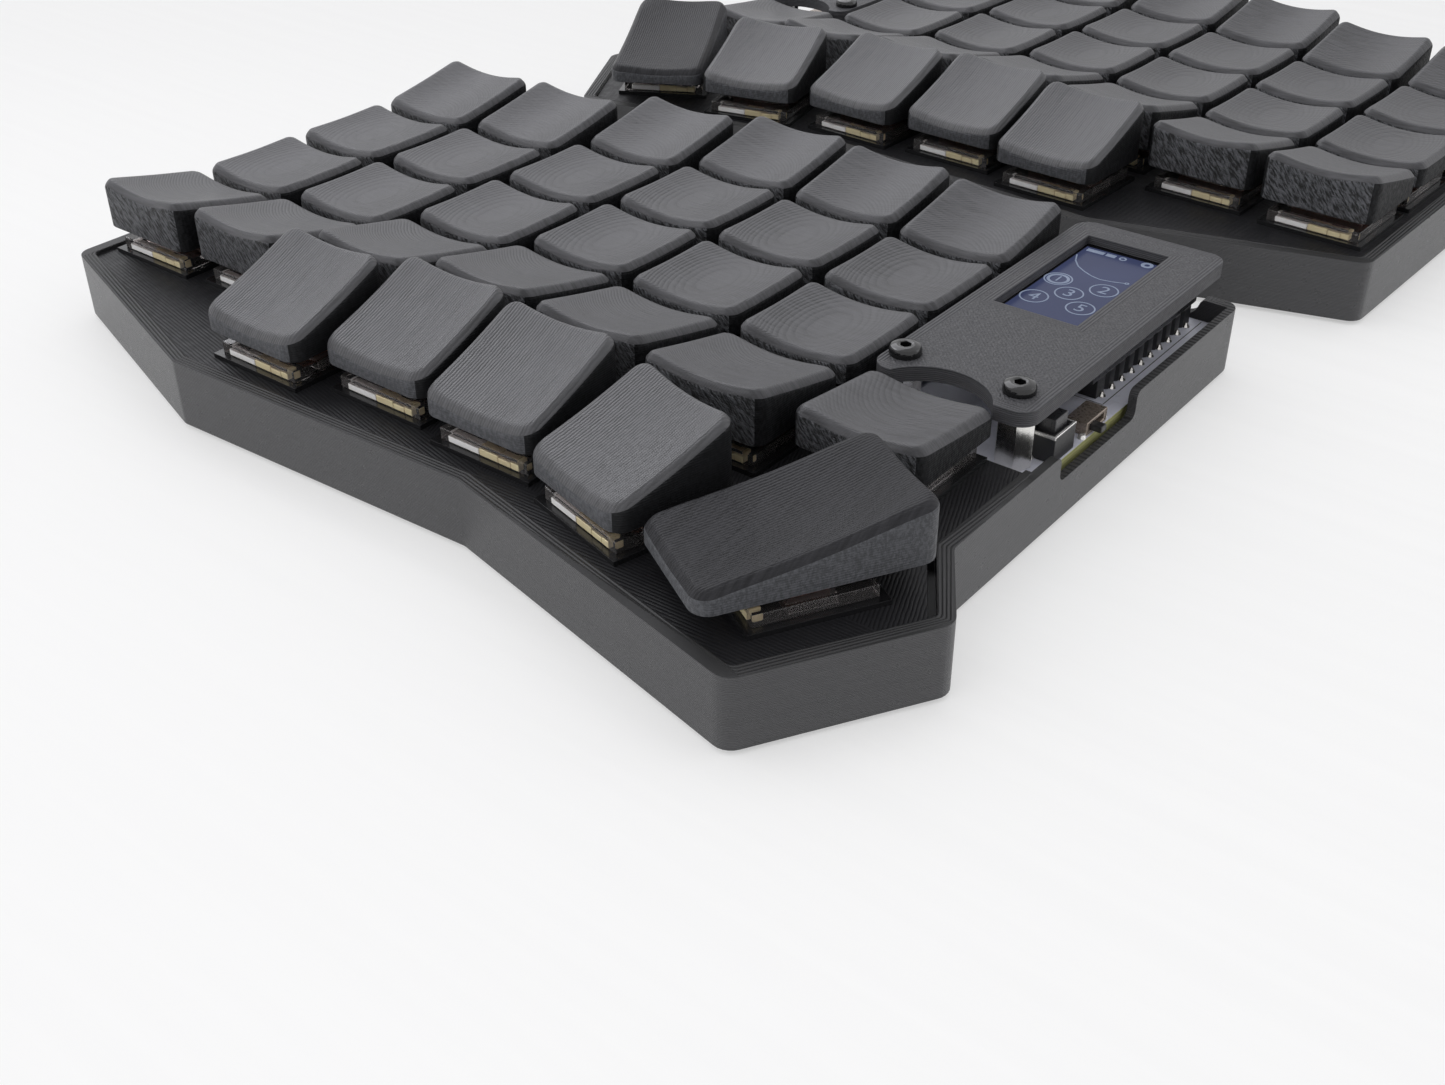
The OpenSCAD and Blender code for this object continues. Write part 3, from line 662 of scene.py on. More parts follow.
def cap_top(name, tone, thumb, gloss):
    """Printed top: the finger keys show contours of the dish, the thumb keys lines along the slope. The streaks
    and contours are tinted lighter and darker, partly the print's own lines and partly painted sheen and shade
    """
    f = Finish(name, specular_ior_level=gloss)
    t = f.tree
    spot = f.stored("cap_place", "Vector")
    contours = use_group(t, "print layers", vector=spot, layer=0.1)
    long_way = t.nodes.new("ShaderNodeMapping")
    long_way.inputs["Scale"].default_value = (3.0, 0.18, 0.3) if thumb else (0.25, 2.6, 0.5)
    long_way.inputs["Rotation"].default_value = (0, 0, 0 if thumb else math.radians(14))
    t.links.new(f.place, long_way.inputs["Vector"])
    streaks_and_sheen = add_node(t, "ShaderNodeTexNoise", vector=long_way.outputs[0], scale=1.0, detail=4.0).outputs[0]
    streaks_and_sheen = ramp(t, streaks_and_sheen, 0.32, 0.68)
    # Painted sheen and shade: the tint runs from about half to one and a half times the cap's colour.
    dark, light = (0.6, 1.35) if thumb else (0.52, 1.48)
    f.tint(shade(tone, dark), mix_values(t, 0.25, streaks_and_sheen, contours), shade(tone, light))
    dust = use_group(t, "dust", vector=f.place, scale=0.5)
    worn = ramp(t, streaks_and_sheen, 0.0, 1.0, 0.32, 0.46)
    f.set("roughness", calc(t, "ADD", worn, calc(t, "MULTIPLY", dust, 0.25)))
    f.bump(contours, 0.6, 0.03 if thumb else 0.06)
    f.bump(streaks_and_sheen, 0.6, 0.02 if thumb else 0.04)
    if thumb:
        f.bump(use_group(t, "print lines", vector=spot, across_x=1.0, across_y=0.02, spacing=0.36), 0.7, 0.05)
    f.bump(f.noise(4.5), 0.1, 0.04)
    return f.material


def cap_side(name, tone, gloss, grain_and_glint_contrast, depth, scale, tall, lean=0.0):
    """Printed wall with a grain that may lean to one side as it rises. The grain is tinted much lighter and
    darker, partly the fuzzy skin's own grain and partly painted glints and shade
    """
    f = Finish(name, specular_ior_level=gloss)
    t = f.tree
    axes = split(t, f.place)
    across = calc(t, "ADD", axes[0], calc(t, "MULTIPLY", axes[2], lean))
    slanted = add_node(t, "ShaderNodeCombineXYZ", x=across, y=axes[1], z=axes[2]).outputs[0]
    skin = use_group(t, "fuzzy skin", vector=slanted, scale=scale, tall=tall)
    # Painted glints and shade: the fuzzy grain is tinted far lighter and darker than the plastic's own grain.
    f.tint(shade(tone, 1 / grain_and_glint_contrast), ramp(t, skin, 0.42, 0.6), shade(tone, grain_and_glint_contrast))
    f.rough(skin, 0.62, 0.42)
    f.bump(skin, 1.0, depth)
    f.bump(use_group(t, "print layers", vector=f.place, layer=0.28), 0.6, 0.07)
    return f.material


def clear_housing():
    f = Finish("clear housing", base_color=finishes().clear, ior=1.45, transmission_weight=0.94)
    f.rough(f.noise(0.8), 0.0, 0.02)
    f.bump(f.noise(0.4, 0.0), 0.08, 0.1)
    return f.material


def moulded(name, tone, rough, grain=3.0, strength=0.1, **more):
    """Moulded or metal finish with a slight change of tone, gloss and level"""
    f = Finish(name, **more)
    f.tint(shade(tone, 0.82), f.noise(0.4), shade(tone, 1.18))
    f.rough(f.noise(grain), rough * 0.85, rough * 1.15)
    f.bump(f.noise(grain * 2), strength, 0.04)
    return f.material


def board_face(half):
    tone = finishes().board
    f = Finish(f"white board {half}", half)
    t = f.tree
    axes = split(t, f.place)

    def band(value, middle, wide):
        return calc(t, "LESS_THAN", calc(t, "ABSOLUTE", calc(t, "SUBTRACT", value, middle)), wide / 2)

    line = calc(t, "MULTIPLY", band(axes[0], 117.9, 0.14), band(axes[1], 52.8, 27.0))
    cross = calc(t, "MULTIPLY", band(axes[1], 39.2, 0.14), band(axes[0], 108.5, 18.8))
    trace = ramp(t, f.noise(0.5, 1.0), 0.52, 0.55)
    mask = blend(t, trace, tone, shade(tone, 0.93))
    f.set("base_color", blend(t, calc(t, "MAXIMUM", line, cross), mask, (0.03, 0.03, 0.035)))
    f.rough(f.noise(1.2), 0.28, 0.4)
    f.bump(trace, 0.25, 0.04)
    return f.material


def board_edge():
    tone = finishes().board_edge
    f = Finish("board edge")
    plies = use_group(f.tree, "print layers", vector=f.place, layer=0.4)
    f.tint(shade(tone, 0.7), plies, shade(tone, 1.2))
    f.rough(f.noise(2.0), 0.5, 0.7)
    f.bump(f.noise(6.0), 0.2, 0.05)
    return f.material


def lit_screen(half):
    f = Finish(f"lit screen {half}", half, roughness=0.2, specular_ior_level=0.08, emission_strength=1.0)
    t = f.tree
    axes = split(t, f.place)
    inside = calc(t, "LESS_THAN", outside(t, axes, SCREEN_MIDDLE, SCREEN_SIZE), 0.0)
    tone = finishes().screen
    glow = blend(t, f.noise(0.12, 1.0), shade(tone, 0.8), shade(tone, 1.2))
    f.set("emission_color", blend(t, inside, (0.0, 0.0, 0.0), glow))
    f.set("base_color", blend(t, inside, (0.004, 0.004, 0.005), (0.008, 0.009, 0.014)))
    return f.material


def lit_marks():
    tone = finishes().marks
    f = Finish(
        "lit marks", base_color=(0.02, 0.02, 0.03), roughness=0.3, specular_ior_level=0.1, emission_strength=1.0
    )
    f.set("emission_color", blend(f.tree, f.noise(0.3), shade(tone, 0.8), shade(tone, 1.2)))
    return f.material


# Shapes

def cap_shape(form):
    """Key cap around its own middle, standing on the plate: dish, bevelled rim, walls and hollow"""
    s = sizes()
    width, depth, front, back, dish, across, along, corner = form
    lean = math.atan2(back - front, depth)
    core_x, core_y = width / 2 - s.rim_inset - corner, depth / 2 - s.rim_inset - corner
    soft = 0.2 * MM

    def level(x, y):
        drop = 0.0
        for _ in range(3):
            run = (y + drop * math.sin(lean)) / math.cos(lean)
            reach = along - across + math.sqrt(across ** 2 - x ** 2)
            drop = along - dish - math.sqrt(reach ** 2 - run ** 2)
            drop = (drop - math.hypot(drop, soft)) / 2
        return (front + back) / 2 + run * math.sin(lean) + drop * math.cos(lean)

    def rim_spot(u, v):
        """Point of the rim for a point on the edge of the unit square, with four faces at each half corner"""
        share = 4 / (s.cap_steps / 2)
        flip = abs(v) > abs(u)
        long_side, short_side = (u, v) if flip else (v, u)
        core = (core_x, core_y) if flip else (core_y, core_x)
        a = abs(long_side)
        if a < 1 - share:
            spot = (core[0] * a / (1 - share), core[1] + corner)
        else:
            turn = math.radians(45) * (a - 1 + share) / share
            spot = (core[0] + corner * math.sin(turn), core[1] + corner * math.cos(turn))
        spot = (math.copysign(spot[0], long_side), math.copysign(spot[1], short_side))
        return Vector((*(spot if flip else spot[::-1]), 0))

    def ring(out, height=None, drop=0.0):
        def move(co):
            middle = Vector((min(max(co.x, -core_x), core_x), min(max(co.y, -core_y), core_y), 0))
            way = (Vector((co.x, co.y, 0)) - middle).normalized()
            spot = middle + way * (corner + out)
            spot.z = co.z - drop if height is None else height
            return spot
        return move

    bm = bmesh.new()
    rows = 2 * round(s.cap_steps * depth / width / 2)
    bmesh.ops.create_grid(bm, x_segments=s.cap_steps, y_segments=rows, size=1.0)
    for vert in bm.verts:
        size = max(abs(vert.co.x), abs(vert.co.y))
        if size > 1e-6:
            vert.co = rim_spot(vert.co.x / size, vert.co.y / size) * size
        vert.co.z = level(vert.co.x, vert.co.y)
    rim = [e for e in bm.edges if e.is_boundary]
    shoulder = next_ring(bm, rim, ring(s.rim_inset, drop=s.rim_drop))
    top = set(bm.faces)
    lip = 0.15 * MM
    edges = next_ring(bm, shoulder, ring(s.rim_inset, s.skirt + lip))
    edges = next_ring(bm, edges, ring(s.rim_inset - lip, s.skirt))
    edges = next_ring(bm, edges, ring(s.rim_inset - s.cap_wall, s.skirt))
    edges = next_ring(bm, edges, ring(s.rim_inset - s.cap_wall, s.roof))
    close_ring(bm, edges)
    bmesh.ops.recalc_face_normals(bm, faces=bm.faces[:])
    for face in bm.faces:
        if face not in top:
            face.material_index = 2 if face.normal.y < -0.8 and face.calc_center_median().y < -core_y else 1
    soften(bm, rim + shoulder, s.rim_soft, 3)
    layer = bm.verts.layers.float_vector.new("cap_place")
    for vert in bm.verts:
        vert[layer] = vert.co / MM
    return bm


def stem_shape():
    """Sliding stem around its own middle, with the prongs that hold the cap"""
    width, depth, low, high = (v / MM for v in sizes().stem)
    bm = bmesh.new()
    add_block(bm, (-width / 2, -depth / 2, low), (width / 2, depth / 2, high - 0.6), 0, 0.35, 2)
    prong_wide, prong_deep, prong_tall = 0.48, 3.6, 1.2
    for x in (-3.95, -2.23, 1.75, 3.47):
        low_corner = (x, -prong_deep / 2, high - prong_tall)
        add_block(bm, low_corner, (x + prong_wide, prong_deep / 2, high), 0, 0.1)
    return bm


def strip_shape():
    """Strip in the housing's front wall: pale diffuser on one side, folded contact on the other"""
    bm = bmesh.new()
    front, back, low, edge = -6.69, -5.2, 0.66, 0.12
    add_block(bm, (-5.4, front, low), (-0.6, back, 1.5), 1, edge)
    for x, wide, tall in ((-0.6, 2.9, 1.62), (2.25, 1.9, 1.45), (4.1, 1.3, 1.56)):
        add_block(bm, (x, front, low), (x + wide, back, tall), 0, edge)
    return bm


def screw_shape(head, tall, shank, socket, dome):
    """Socket screw from the floor of its hexagon to the end of its shank"""
    rim = [(0.66, -0.03), (0.9, -0.18), (0.98, -0.42), (1.0, -0.7)] if dome else [(0.9, 0.0), (1.0, -0.1)]
    rings = [(hexagon(socket), tall * 0.35), (hexagon(socket), tall - 0.08), (socket * 1.18, tall)]
    rings += [(head * r, tall + z * tall) for r, z in rim]
    rings += [(head, 0.05), (head * 0.97, 0.0), (1.0, 0.0), (1.0, 0.2 - shank), (0.8, -shank)]
    return ring_stack(rings)


def digit_shape(text, tall):
    """Flat outline of a plain number"""
    curve = bpy.data.curves.new("digit", "FONT")
    curve.body = text
    curve.size = tall
    curve.align_x = "CENTER"
    curve.align_y = "CENTER"
    obj = bpy.data.objects.new("digit", curve)
    bpy.context.scene.collection.objects.link(obj)
    bpy.context.view_layer.update()
    mesh = bpy.data.meshes.new_from_object(obj.evaluated_get(bpy.context.evaluated_depsgraph_get()))
    bm = bmesh.new()
    bm.from_mesh(mesh)
    bpy.data.objects.remove(obj)
    bpy.data.curves.remove(curve)
    bpy.data.meshes.remove(mesh)
    return bm


def mark_shape():
    """Status marks of the display: numbered rings, a level bar, a graph line and a round sign"""
    level = top_of("display_panels") + 0.015 * MM
    bm = bmesh.new()

    def ring(x, y, outer, inner):
        flat = bmesh.new()
        bmesh.ops.create_circle(flat, cap_ends=False, segments=36, radius=outer * MM)
        next_ring(flat, flat.edges[:], lambda co: co * inner / outer)
        add_copy(bm, flat, Matrix.Translation((x * MM, y * MM, level)))
        flat.free()

    def bar(ax, ay, bx, by, wide):
        start, run = Vector((ax * MM, ay * MM, level)), Vector((bx - ax, by - ay, 0)) * MM
        side = Vector((-run.y, run.x, 0)).normalized() * wide * MM / 2
        corners = (start - side, start + run - side, start + run + side, start + side)
        bm.faces.new([bm.verts.new(corner) for corner in corners])

    for text, x, y in NUMBER_PLACES:
        ring(x, y, 1.82, 1.63)
        if text == "1":
            ring(x, y, 1.45, 1.05)
        digit = digit_shape(text, 2.8 * MM if text != "1" else 2.2 * MM)
        add_copy(bm, digit, Matrix.Translation((x * MM, y * MM, level)))
        digit.free()
    for a, b in zip(GRAPH_LINE, GRAPH_LINE[1:]):
        bar(*a, *b, 0.18)
    ring(111.9, 55.2, 0.3, 0.12)
    bar(103.2, 61.5, 105.6, 61.5, 0.8)
    bar(105.9, 61.5, 107.2, 61.5, 0.8)
    ring(108.2, 61.5, 0.5, 0.28)
    ring(111.5, 61.6, 0.8, 0.35)
    bm.normal_update()
    for face in bm.faces:
        if face.normal.z < 0:
            face.normal_flip()
    return bm


# Pieces

def dress_cases():
    for half in HALVES:
        case = dress_node(f"{half}_shell", f"{half}_case", "printed_black", printed_case(half), sizes().edge)
        store_rim_distance(case.data, RIM_WIDTH)
        dress_node(f"{half}_plate", f"{half}_switch_plate", "printed_black", printed_plate(half), 0.12 * MM)


def store_rim_distance(mesh, wide):
    """Stores the distance from the case's outer edge on its rim, for the print lines there"""
    low = min(v.co.z for v in mesh.vertices)
    high = max(v.co.z for v in mesh.vertices)
    under = {(round(v.co.x, 5), round(v.co.y, 5)) for v in mesh.vertices if v.co.z < low + 0.1 * MM}
    layer = mesh.attributes.new("rim", "FLOAT", "POINT")
    for vert, item in zip(mesh.vertices, layer.data):
        inner = vert.co.z > high - 0.1 * MM and (round(vert.co.x, 5), round(vert.co.y, 5)) not in under
        item.value = wide if inner else 0.0


def dress_boards():
    edge = board_edge()
    for half in HALVES:
        bm = copy_of(f"{half}_main_pcb")
        bm.normal_update()
        for face in bm.faces:
            face.material_index = 0 if abs(face.normal.z) > 0.9 else 1
        new_piece(f"{half}_board", bm, BASE, [f"{half}_main_pcb"], "board_white", [board_face(half), edge])
    black = moulded("moulded black", finishes().black, 0.42)
    mask = moulded("black board", shade(finishes().black, 1.5), 0.3)
    steel = moulded("bright steel", finishes().steel, 0.24, metallic=1.0)
    foil = moulded("battery foil", shade(finishes().steel, 1.05), 0.38, metallic=0.9)
    for name, node, slot, finish, bevel in (
        ("controllers", "controller_boards", "board_black", mask, 0.08),
        ("pin_rows", "pin_headers", "header_black", black, 0.1),
        ("ports", "usb_ports", "steel", steel, 0.1),
        ("flat_batteries", "batteries", "foil", foil, 0.5),
    ):
        dress_node(name, node, slot, finish, bevel * MM)

    board_top = top_of("left_main_pcb")
    dot = ring_stack([(0.5, 0.0), (0.44, 0.16), (0.26, 0.36), (0.16, 0.55)], 8)
    dots = []
    for low, high in left_boxes("pin_headers"):
        count = round((high.y - low.y) / (PIN_PITCH * MM))
        for i in range(count):
            y = high.y - (i + 0.5) * (high.y - low.y) / count
            dots += [Matrix.Translation((x, y, board_top)) for x in (low.x - 0.18 * MM, high.x + 0.18 * MM)]
    new_piece("solder_dots", both(at_each(dot, dots)), BASE, (), "steel", [steel])

    low, high = (v / MM for v in left_boxes("controller_boards")[0])
    x, y, top = low.x, low.y, high.z
    bm = bmesh.new()
    add_block(bm, (x + 3.4, y + 6.0, top), (x + 12.2, y + 16.6, top + 1.3), 0, 0.15)
    chips = ((13.4, 3.8, 1.6, 2.8, 0.8), (13.4, 8.8, 1.2, 2.0, 0.6), (4.0, 1.6, 2.2, 2.2, 0.7))
    for dx, dy, wide, tall, thick in chips:
        add_block(bm, (x + dx, y + dy, top), (x + dx + wide, y + dy + tall, top + thick), 1, 0.08)
    new_piece("controller_parts", both(bm), BASE, (), "steel", [steel, black])

    low, high = (v / MM for v in left_boxes("usb_ports")[0])
    mid = (low.z + high.z) / 2
    bm = bmesh.new()
    add_block(bm, (low.x + 1.1, low.y + 1.2, mid - 0.35), (high.x - 1.1, high.y - 1.0, mid + 0.35), 0, 0.12)
    new_piece("port_tongues", both(bm), BASE, (), "header_black", [black])


def dress_switches():
    clear = clear_housing()
    dark = moulded("lower housing", finishes().black, 0.22, specular_ior_level=0.5)
    dress_node("lower_housings", "switch_bases", None, dark, 0.18 * MM)
    dress_node("clear_housings", "switch_tops", "clear_plastic", clear, 0.28 * MM)
    gold = moulded("contact strip", finishes().contact, 0.34, metallic=0.25)
    pale = moulded("pale strip", finishes().diffuser, 0.4)
    places = [
        key_matrix(half, node, turn) for half in HALVES for _, keys, _ in key_rows() for node, _, turn in keys
    ]
    strips = at_each(strip_shape(), places)
    new_piece("switch_strips", strips, BASE, ["switch_contacts"], "contact_metal", [gold, pale])


def dress_keys():
    # Painted shade: the caps' sides take the cap wall colour, the same plastic as the tops painted about six
    # times darker for the shade in the gaps between keys.
    tone = finishes().cap_wall
    wall = cap_side("cap side", tone, 0.12, 1.6, 0.12, 2.6, 0.6)
    # Painted light: the finger fronts are painted three times and the thumb fronts six and a half times lighter
    # than the sides, as painted light on the faces that look to the front.
    front = cap_side("cap front", shade(tone, 3.0), 0.5, 4.5, 0.8, 3.0, 0.4, 0.8)
    thumb_wall = cap_side("thumb cap side", tone, 0.16, 1.3, 0.03, 2.0, 0.6)
    thumb_front_painted_light = cap_side("thumb cap front", shade(tone, 6.5), 0.32, 1.3, 0.04, 3.0, 0.6)
    finger = [cap_top("finger cap top", finishes().cap, False, 0.29), wall, front]
    thumb = [cap_top("thumb cap top", finishes().cap, True, 0.48), thumb_wall, thumb_front_painted_light]
    # Painted shade: the long thumb tops take the long cap colour, painted half as light as the other tops;
    # their walls and fronts take the thumb front finish with its painted light.
    long = [cap_top("long cap top", finishes().long_cap, True, 0.11), thumb_front_painted_light, thumb_front_painted_light]
    stem_finish = moulded("stem", finishes().stem, 0.32, specular_ior_level=0.55)
    names = ("number", "middle", "lower", "inner", "thumb", "long")
    forms = {name: cap_shape(getattr(sizes(), name + "_cap")) for name in names}
    stem = stem_shape()
    right_long = forms["long"].copy()
    for face in right_long.faces:
        face.material_index += len(thumb)
    for row, keys, right_node in key_rows():
        right_finish = thumb + long if row == "thumb" else finger
        right_caps, right_stems = bmesh.new(), bmesh.new()
        for node, form, turn in keys:
            finish = long if form == "long" else thumb if form == "thumb" else finger
            place = key_matrix("left", node, turn)
            parts = ((forms[form], "cap", "cap_black", finish), (stem, "stem", None, [stem_finish]))
            for shape, part, slot, finish_list in parts:
                bm = bmesh.new()
                add_copy(bm, shape, place)
                new_piece(node.replace("key", part), bm, node, [node], slot, finish_list, sharp=18)
            place = key_matrix("right", node, turn)
            add_copy(right_caps, right_long if form == "long" else forms[form], place)
            add_copy(right_stems, stem, place)
        node = [right_node]
        new_piece(f"right_{row}_caps", right_caps, right_node, node, "cap_black", right_finish, sharp=18)
        new_piece(f"right_{row}_stems", right_stems, right_node, node, None, [stem_finish], sharp=18)
    for shape in (*forms.values(), right_long, stem):
        shape.free()


def dress_displays():
    for half in HALVES:
        for node, name, slot, finish, bevel in (
            ("display_covers", "cover", "printed_black", printed_cover(half), sizes().cover_edge),
            ("display_panels", "screen", "panel_glass", lit_screen(half), 0.1 * MM),
        ):
            bm = copy_of(node)
            far = [v for v in bm.verts if (v.co.x > 0) != (half == "left")]
            bmesh.ops.delete(bm, geom=far, context="VERTS")
            new_piece(f"{half}_{name}", bm, BASE, [node], slot, [finish], bevel=bevel)
    turned = Matrix.Translation((2 * SCREEN_MIDDLE[0] * MM, 0, 0)) @ Matrix.Scale(-1, 4, (1, 0, 0))
    places = [half_matrix("left"), half_matrix("right") @ turned]
    marks = new_piece("screen_marks", at_each(mark_shape(), places), BASE, (), "panel_glass", [lit_marks()])
    thick = marks.modifiers.new("Thickness", "SOLIDIFY")
    thick.thickness = 0.02 * MM
    thick.offset = 1.0

    metal = moulded("standoff metal", finishes().standoff, 0.2, metallic=1.0)
    dark = moulded("black screw", shade(finishes().black, 0.5), 0.12, specular_ior_level=0.55)
    low, high = (v.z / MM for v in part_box("cover_standoffs"))
    post = ring_stack([(2.0, low), (hexagon(2.3), low + 0.15), (hexagon(2.3), high - 0.15), (2.0, high)])
    places = stands_of("cover_standoffs")
    new_piece("standoffs", at_each(post, places), BASE, ["cover_standoffs"], "post_metal", [metal], sharp=25)
    seat = Matrix.Translation((0, 0, top_of("display_covers")))
    shank = (top_of("display_covers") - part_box("cover_screws")[0].z) / MM
    screw = screw_shape(1.9, 1.2, shank, 0.72, True)
    places = [seat @ stand for stand in stands_of("cover_screws")]
    new_piece("button_screws", at_each(screw, places), BASE, ["cover_screws"], "screw_black", [dark])


def dress_side_switches():
    steel = moulded("switch can", finishes().can, 0.28, strength=0.03, metallic=0.6)
    silver = moulded("switch legs", finishes().legs, 0.25, metallic=0.6)
    black = moulded("switch black", shade(finishes().black, 1.2), 0.38)
    grey = moulded("plunger grey", finishes().plunger, 0.3)
    dress_node("power_cans", "power_switch_bodies", "steel", steel, 0.15 * MM)
    dress_node("reset_bodies", "reset_button_bodies", "button_black", black, 0.12 * MM)
    for half in HALVES:
        for node, name, finish in (("power_slider", "lever", black), ("reset_plunger", "plunger", grey)):
            node = f"{half}_{node}"
            dress_node(f"{half}_{name}", node, "button_black", finish, 0.15 * MM, node)

    bm = bmesh.new()
    low, high = (v / MM for v in left_boxes("power_switch_bodies")[0])
    for y in (low.y, high.y):
        for x in (low.x + 0.6, high.x - 0.35):
            add_block(bm, (x - 0.3, y - 0.3, low.z), (x + 0.3, y + 0.3, low.z + 0.4), 0, 0.1)
    dot = ring_stack([(0.55, 0.0), (0.5, 0.2), (0.3, 0.42)], 12)
    add_copy(bm, dot, Matrix.Translation(Vector((high.x - 0.3, low.y - 0.5, low.z)) * MM))
    low, high = (v / MM for v in left_boxes("reset_button_bodies")[0])
    top = high.z
    for x0, x1, y0, y1 in (
        (low.x, high.x, low.y, low.y + 0.3), (low.x, high.x, high.y - 0.3, high.y),
        (low.x, low.x + 0.3, low.y + 0.3, high.y - 0.3), (high.x - 0.3, high.x, low.y + 0.3, high.y - 0.3),
    ):
        add_block(bm, (x0, y0, top - 0.35), (x1, y1, top + 0.02), 0, 0.04)
    add_copy(bm, dot, Matrix.Translation(Vector((low.x + 0.6, low.y - 0.15, low.z)) * MM))
    dot.free()
    new_piece("switch_frames", both(bm), BASE, (), "steel", [silver])


def dress_underside():
    dark = moulded("case screw", shade(finishes().black, 1.5), 0.3, specular_ior_level=0.6)
    rubber = moulded("foot rubber", finishes().rubber, 0.75, grain=5.0, strength=0.3)
    low, high = (v.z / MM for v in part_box("case_screws"))
    screw = screw_shape(1.9, 0.9, high - low - 0.9, 0.72, False)
    upside = Matrix.Translation((0, 0, (low + 0.9) * MM)) @ Matrix.Rotation(math.pi, 4, "X")
    places = [stand @ upside for stand in stands_of("case_screws")]
    new_piece("floor_screws", at_each(screw, places), BASE, ["case_screws"], "screw_black", [dark])
    high = top_of("rubber_feet") / MM
    foot = ring_stack([(3.55, 0.0), (3.85, 0.08), (4.0, 0.3), (4.0, high)], 36)
    feet = at_each(foot, stands_of("rubber_feet"))
    new_piece("soft_feet", feet, BASE, ["rubber_feet"], "rubber_black", [rubber])


# Stage

def table_finish():
    tone = finishes().floor
    f = Finish("table", specular_ior_level=0.2)
    t = f.tree
    turn = t.nodes.new("ShaderNodeMapping")
    turn.inputs["Rotation"].default_value = (0, 0, math.radians(-62))
    turn.inputs["Scale"].default_value = (0.012, 0.35, 1.0)
    t.links.new(f.place, turn.inputs["Vector"])
    grain = add_node(t, "ShaderNodeTexNoise", vector=turn.outputs[0], scale=1.0, detail=4.0).outputs[0]
    axes = split(t, f.place)
    # Painted shade: the table and its white veil are painted up to a tenth darker towards the back left, as
    # painted falloff of the light.
    away = calc(t, "SUBTRACT", calc(t, "MULTIPLY", axes[1], 0.79), calc(t, "MULTIPLY", axes[0], 0.62))
    painted_falloff = ramp(t, away, -40.0, 180.0, 1.0, 0.9)
    painted_falloff.node.interpolation_type = "SMOOTHSTEP"
    pale = blend(t, ramp(t, grain, 0.35, 0.65), shade(tone, 0.985), shade(tone, 1.015))
    far = add_node(t, "ShaderNodeCombineXYZ", x=painted_falloff, y=painted_falloff, z=painted_falloff).outputs[0]
    tinted = t.nodes.new("ShaderNodeMix")
    tinted.data_type = "RGBA"
    tinted.blend_type = "MULTIPLY"
    for index, value in ((0, 1.0), (6, pale), (7, far)):
        put(t, tinted.inputs[index], value)
    f.set("base_color", tinted.outputs[2])
    f.rough(grain, 0.5, 0.62)
    white = t.nodes.new("ShaderNodeEmission")
    put(t, white.inputs["Color"], far)
    veil = t.nodes.new("ShaderNodeMixShader")
    put(t, veil.inputs[0], calc(t, "MULTIPLY", plain_view(t), TABLE_VEIL))
    t.links.new(f.shader.outputs[0], veil.inputs[1])
    t.links.new(white.outputs[0], veil.inputs[2])
    t.links.new(veil.outputs[0], t.nodes["Material Output"].inputs["Surface"])
    return f.material


def add_sheen(name, way, strength, angle):
    """A wide soft lamp that shows only in the gloss, as a window does in a bright room"""
    data = bpy.data.lights.new(name, "SUN")
    data.energy = strength
    data.color = (0.94, 0.945, 1.0)
    data.angle = math.radians(angle)
    lamp = bpy.data.objects.new(name, data)
    lamp.visible_diffuse = False
    lamp.rotation_euler = (-Vector(way)).to_track_quat("-Z", "Y").to_euler()
    bpy.context.scene.collection.objects.link(lamp)


def add_world():
    """White light from all round, more of it from the front left, and plain white where it is seen"""
    world = bpy.data.worlds.new("studio")
    world.use_nodes = True
    t = world.node_tree
    axes = split(t, t.nodes.new("ShaderNodeTexCoord").outputs["Generated"])
    level = 1.0
    for x, y, share in LIGHT_SHARES:
        along = calc(t, "ADD", calc(t, "MULTIPLY", axes[0], x), calc(t, "MULTIPLY", axes[1], y))
        along = calc(t, "POWER", calc(t, "MAXIMUM", along, 0.0), 2.0)
        level = calc(t, "ADD", calc(t, "MULTIPLY", along, share), level)
    ground = t.nodes["Background"].inputs
    ground["Color"].default_value = (0.985, 0.985, 1.0, 1.0)
    put(t, ground["Strength"], mix_values(t, plain_view(t), level, 1.0))
    bpy.context.scene.world = world


def dress_stage():
    scene = bpy.context.scene
    scene.view_settings.view_transform = "Standard"
    bm = bmesh.new()
    bmesh.ops.create_grid(bm, x_segments=2, y_segments=2, size=3.0)
    mesh = bpy.data.meshes.new("table")
    bm.to_mesh(mesh)
    bm.free()
    mesh.materials.append(table_finish())
    table = bpy.data.objects.new("table", mesh)
    scene.collection.objects.link(table)
    add_world()
    for lamp in SHEEN_LAMPS:
        add_sheen(*lamp)

    lens = bpy.data.cameras.new("photo camera")
    lens.sensor_width = 36.0
    lens.sensor_fit = "HORIZONTAL"
    lens.lens = CAMERA_LENS
    lens.clip_start = 0.005
    camera = bpy.data.objects.new("photo camera", lens)
    camera.location = CAMERA_PLACE
    camera.rotation_euler = [math.radians(angle) for angle in CAMERA_TURN]
    scene.collection.objects.link(camera)
    scene.camera = camera


# Operators and panel

class KEYBOARD_OT_stage(bpy.types.Operator):
    """Table, light and camera"""

    bl_idname = "keyboard.stage"
    bl_label = "Stage"

    def execute(self, context):
        dress_stage()
        return {"FINISHED"}


class KEYBOARD_OT_print_effects(bpy.types.Operator):
    """Node groups that the printed finishes share"""

    bl_idname = "keyboard.print_effects"
    bl_label = "Print effects"

    def execute(self, context):
        make_print_groups()
        return {"FINISHED"}


class KEYBOARD_OT_cases(bpy.types.Operator):
    """Case shells and switch plates"""

    bl_idname = "keyboard.cases"
    bl_label = "Cases and plates"

    def execute(self, context):
        dress_cases()
        return {"FINISHED"}


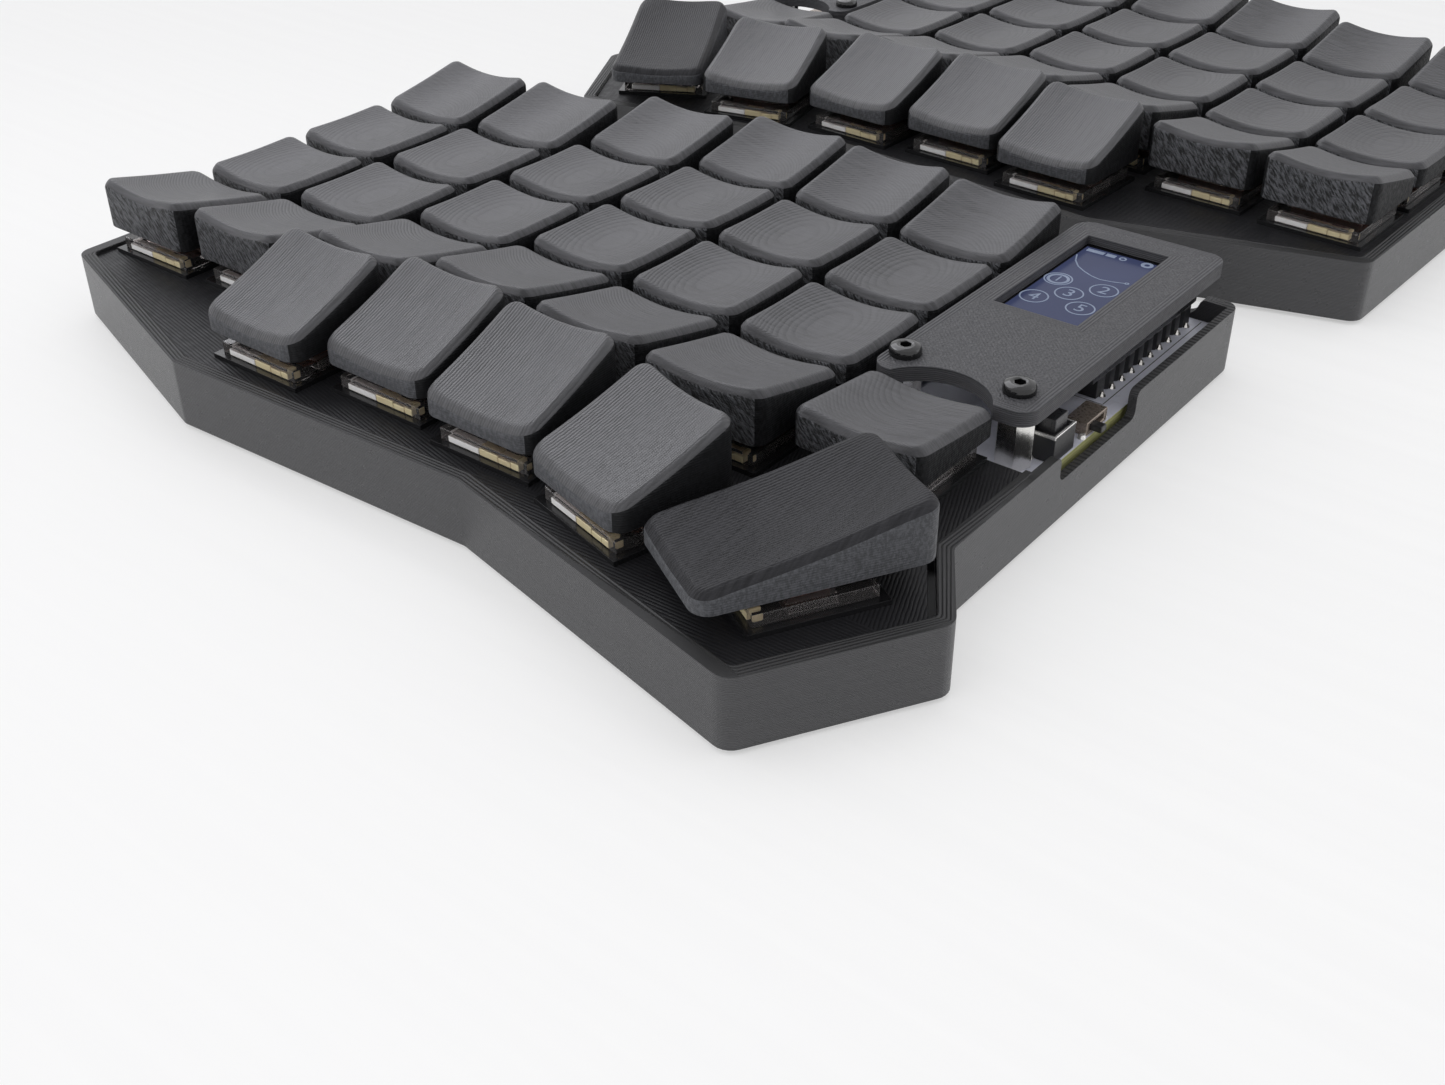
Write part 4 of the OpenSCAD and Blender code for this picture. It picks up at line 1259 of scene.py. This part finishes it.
class KEYBOARD_OT_boards(bpy.types.Operator):
    """Circuit boards with their pin rows, ports and batteries"""

    bl_idname = "keyboard.boards"
    bl_label = "Boards"

    def execute(self, context):
        dress_boards()
        return {"FINISHED"}


class KEYBOARD_OT_switches(bpy.types.Operator):
    """Switch housings with their strips"""

    bl_idname = "keyboard.switches"
    bl_label = "Switches"

    def execute(self, context):
        dress_switches()
        return {"FINISHED"}


class KEYBOARD_OT_keys(bpy.types.Operator):
    """Key caps and stems of both halves"""

    bl_idname = "keyboard.keys"
    bl_label = "Keys"

    def execute(self, context):
        dress_keys()
        return {"FINISHED"}


class KEYBOARD_OT_displays(bpy.types.Operator):
    """Display covers and screens with their marks, standoffs and screws"""

    bl_idname = "keyboard.displays"
    bl_label = "Displays"

    def execute(self, context):
        dress_displays()
        return {"FINISHED"}


class KEYBOARD_OT_side_switches(bpy.types.Operator):
    """Power switches and reset buttons"""

    bl_idname = "keyboard.side_switches"
    bl_label = "Side switches"

    def execute(self, context):
        dress_side_switches()
        return {"FINISHED"}


class KEYBOARD_OT_underside(bpy.types.Operator):
    """Case screws and rubber feet"""

    bl_idname = "keyboard.underside"
    bl_label = "Underside"

    def execute(self, context):
        dress_underside()
        return {"FINISHED"}


OPERATORS = (
    KEYBOARD_OT_stage, KEYBOARD_OT_print_effects, KEYBOARD_OT_cases, KEYBOARD_OT_boards, KEYBOARD_OT_switches,
    KEYBOARD_OT_keys, KEYBOARD_OT_displays, KEYBOARD_OT_side_switches, KEYBOARD_OT_underside,
)


class KEYBOARD_PT_pieces(bpy.types.Panel):
    """Lists the keyboard's pieces, sizes and colours"""

    bl_idname = "KEYBOARD_PT_pieces"
    bl_label = "Split keyboard"
    bl_space_type = "VIEW_3D"
    bl_region_type = "UI"
    bl_category = "Keyboard"

    def draw(self, context):
        for item in OPERATORS:
            self.layout.operator(item.bl_idname)
        for settings in (context.scene.keyboard_sizes, context.scene.keyboard_finishes):
            for key in settings.__annotations__:
                self.layout.prop(settings, key)


CLASSES = (KeyboardSizes, KeyboardFinishes, *OPERATORS, KEYBOARD_PT_pieces)


def register():
    for item in CLASSES:
        bpy.utils.register_class(item)
    bpy.types.Scene.keyboard_sizes = PointerProperty(type=KeyboardSizes)
    bpy.types.Scene.keyboard_finishes = PointerProperty(type=KeyboardFinishes)


def unregister():
    del bpy.types.Scene.keyboard_finishes
    del bpy.types.Scene.keyboard_sizes
    for item in reversed(CLASSES):
        bpy.utils.unregister_class(item)


def main():
    register()
    bpy.ops.keyboard.stage()
    bpy.ops.keyboard.print_effects()
    bpy.ops.keyboard.cases()
    bpy.ops.keyboard.boards()
    bpy.ops.keyboard.switches()
    bpy.ops.keyboard.keys()
    bpy.ops.keyboard.displays()
    bpy.ops.keyboard.side_switches()
    bpy.ops.keyboard.underside()


if __name__ == "__main__":
    main()
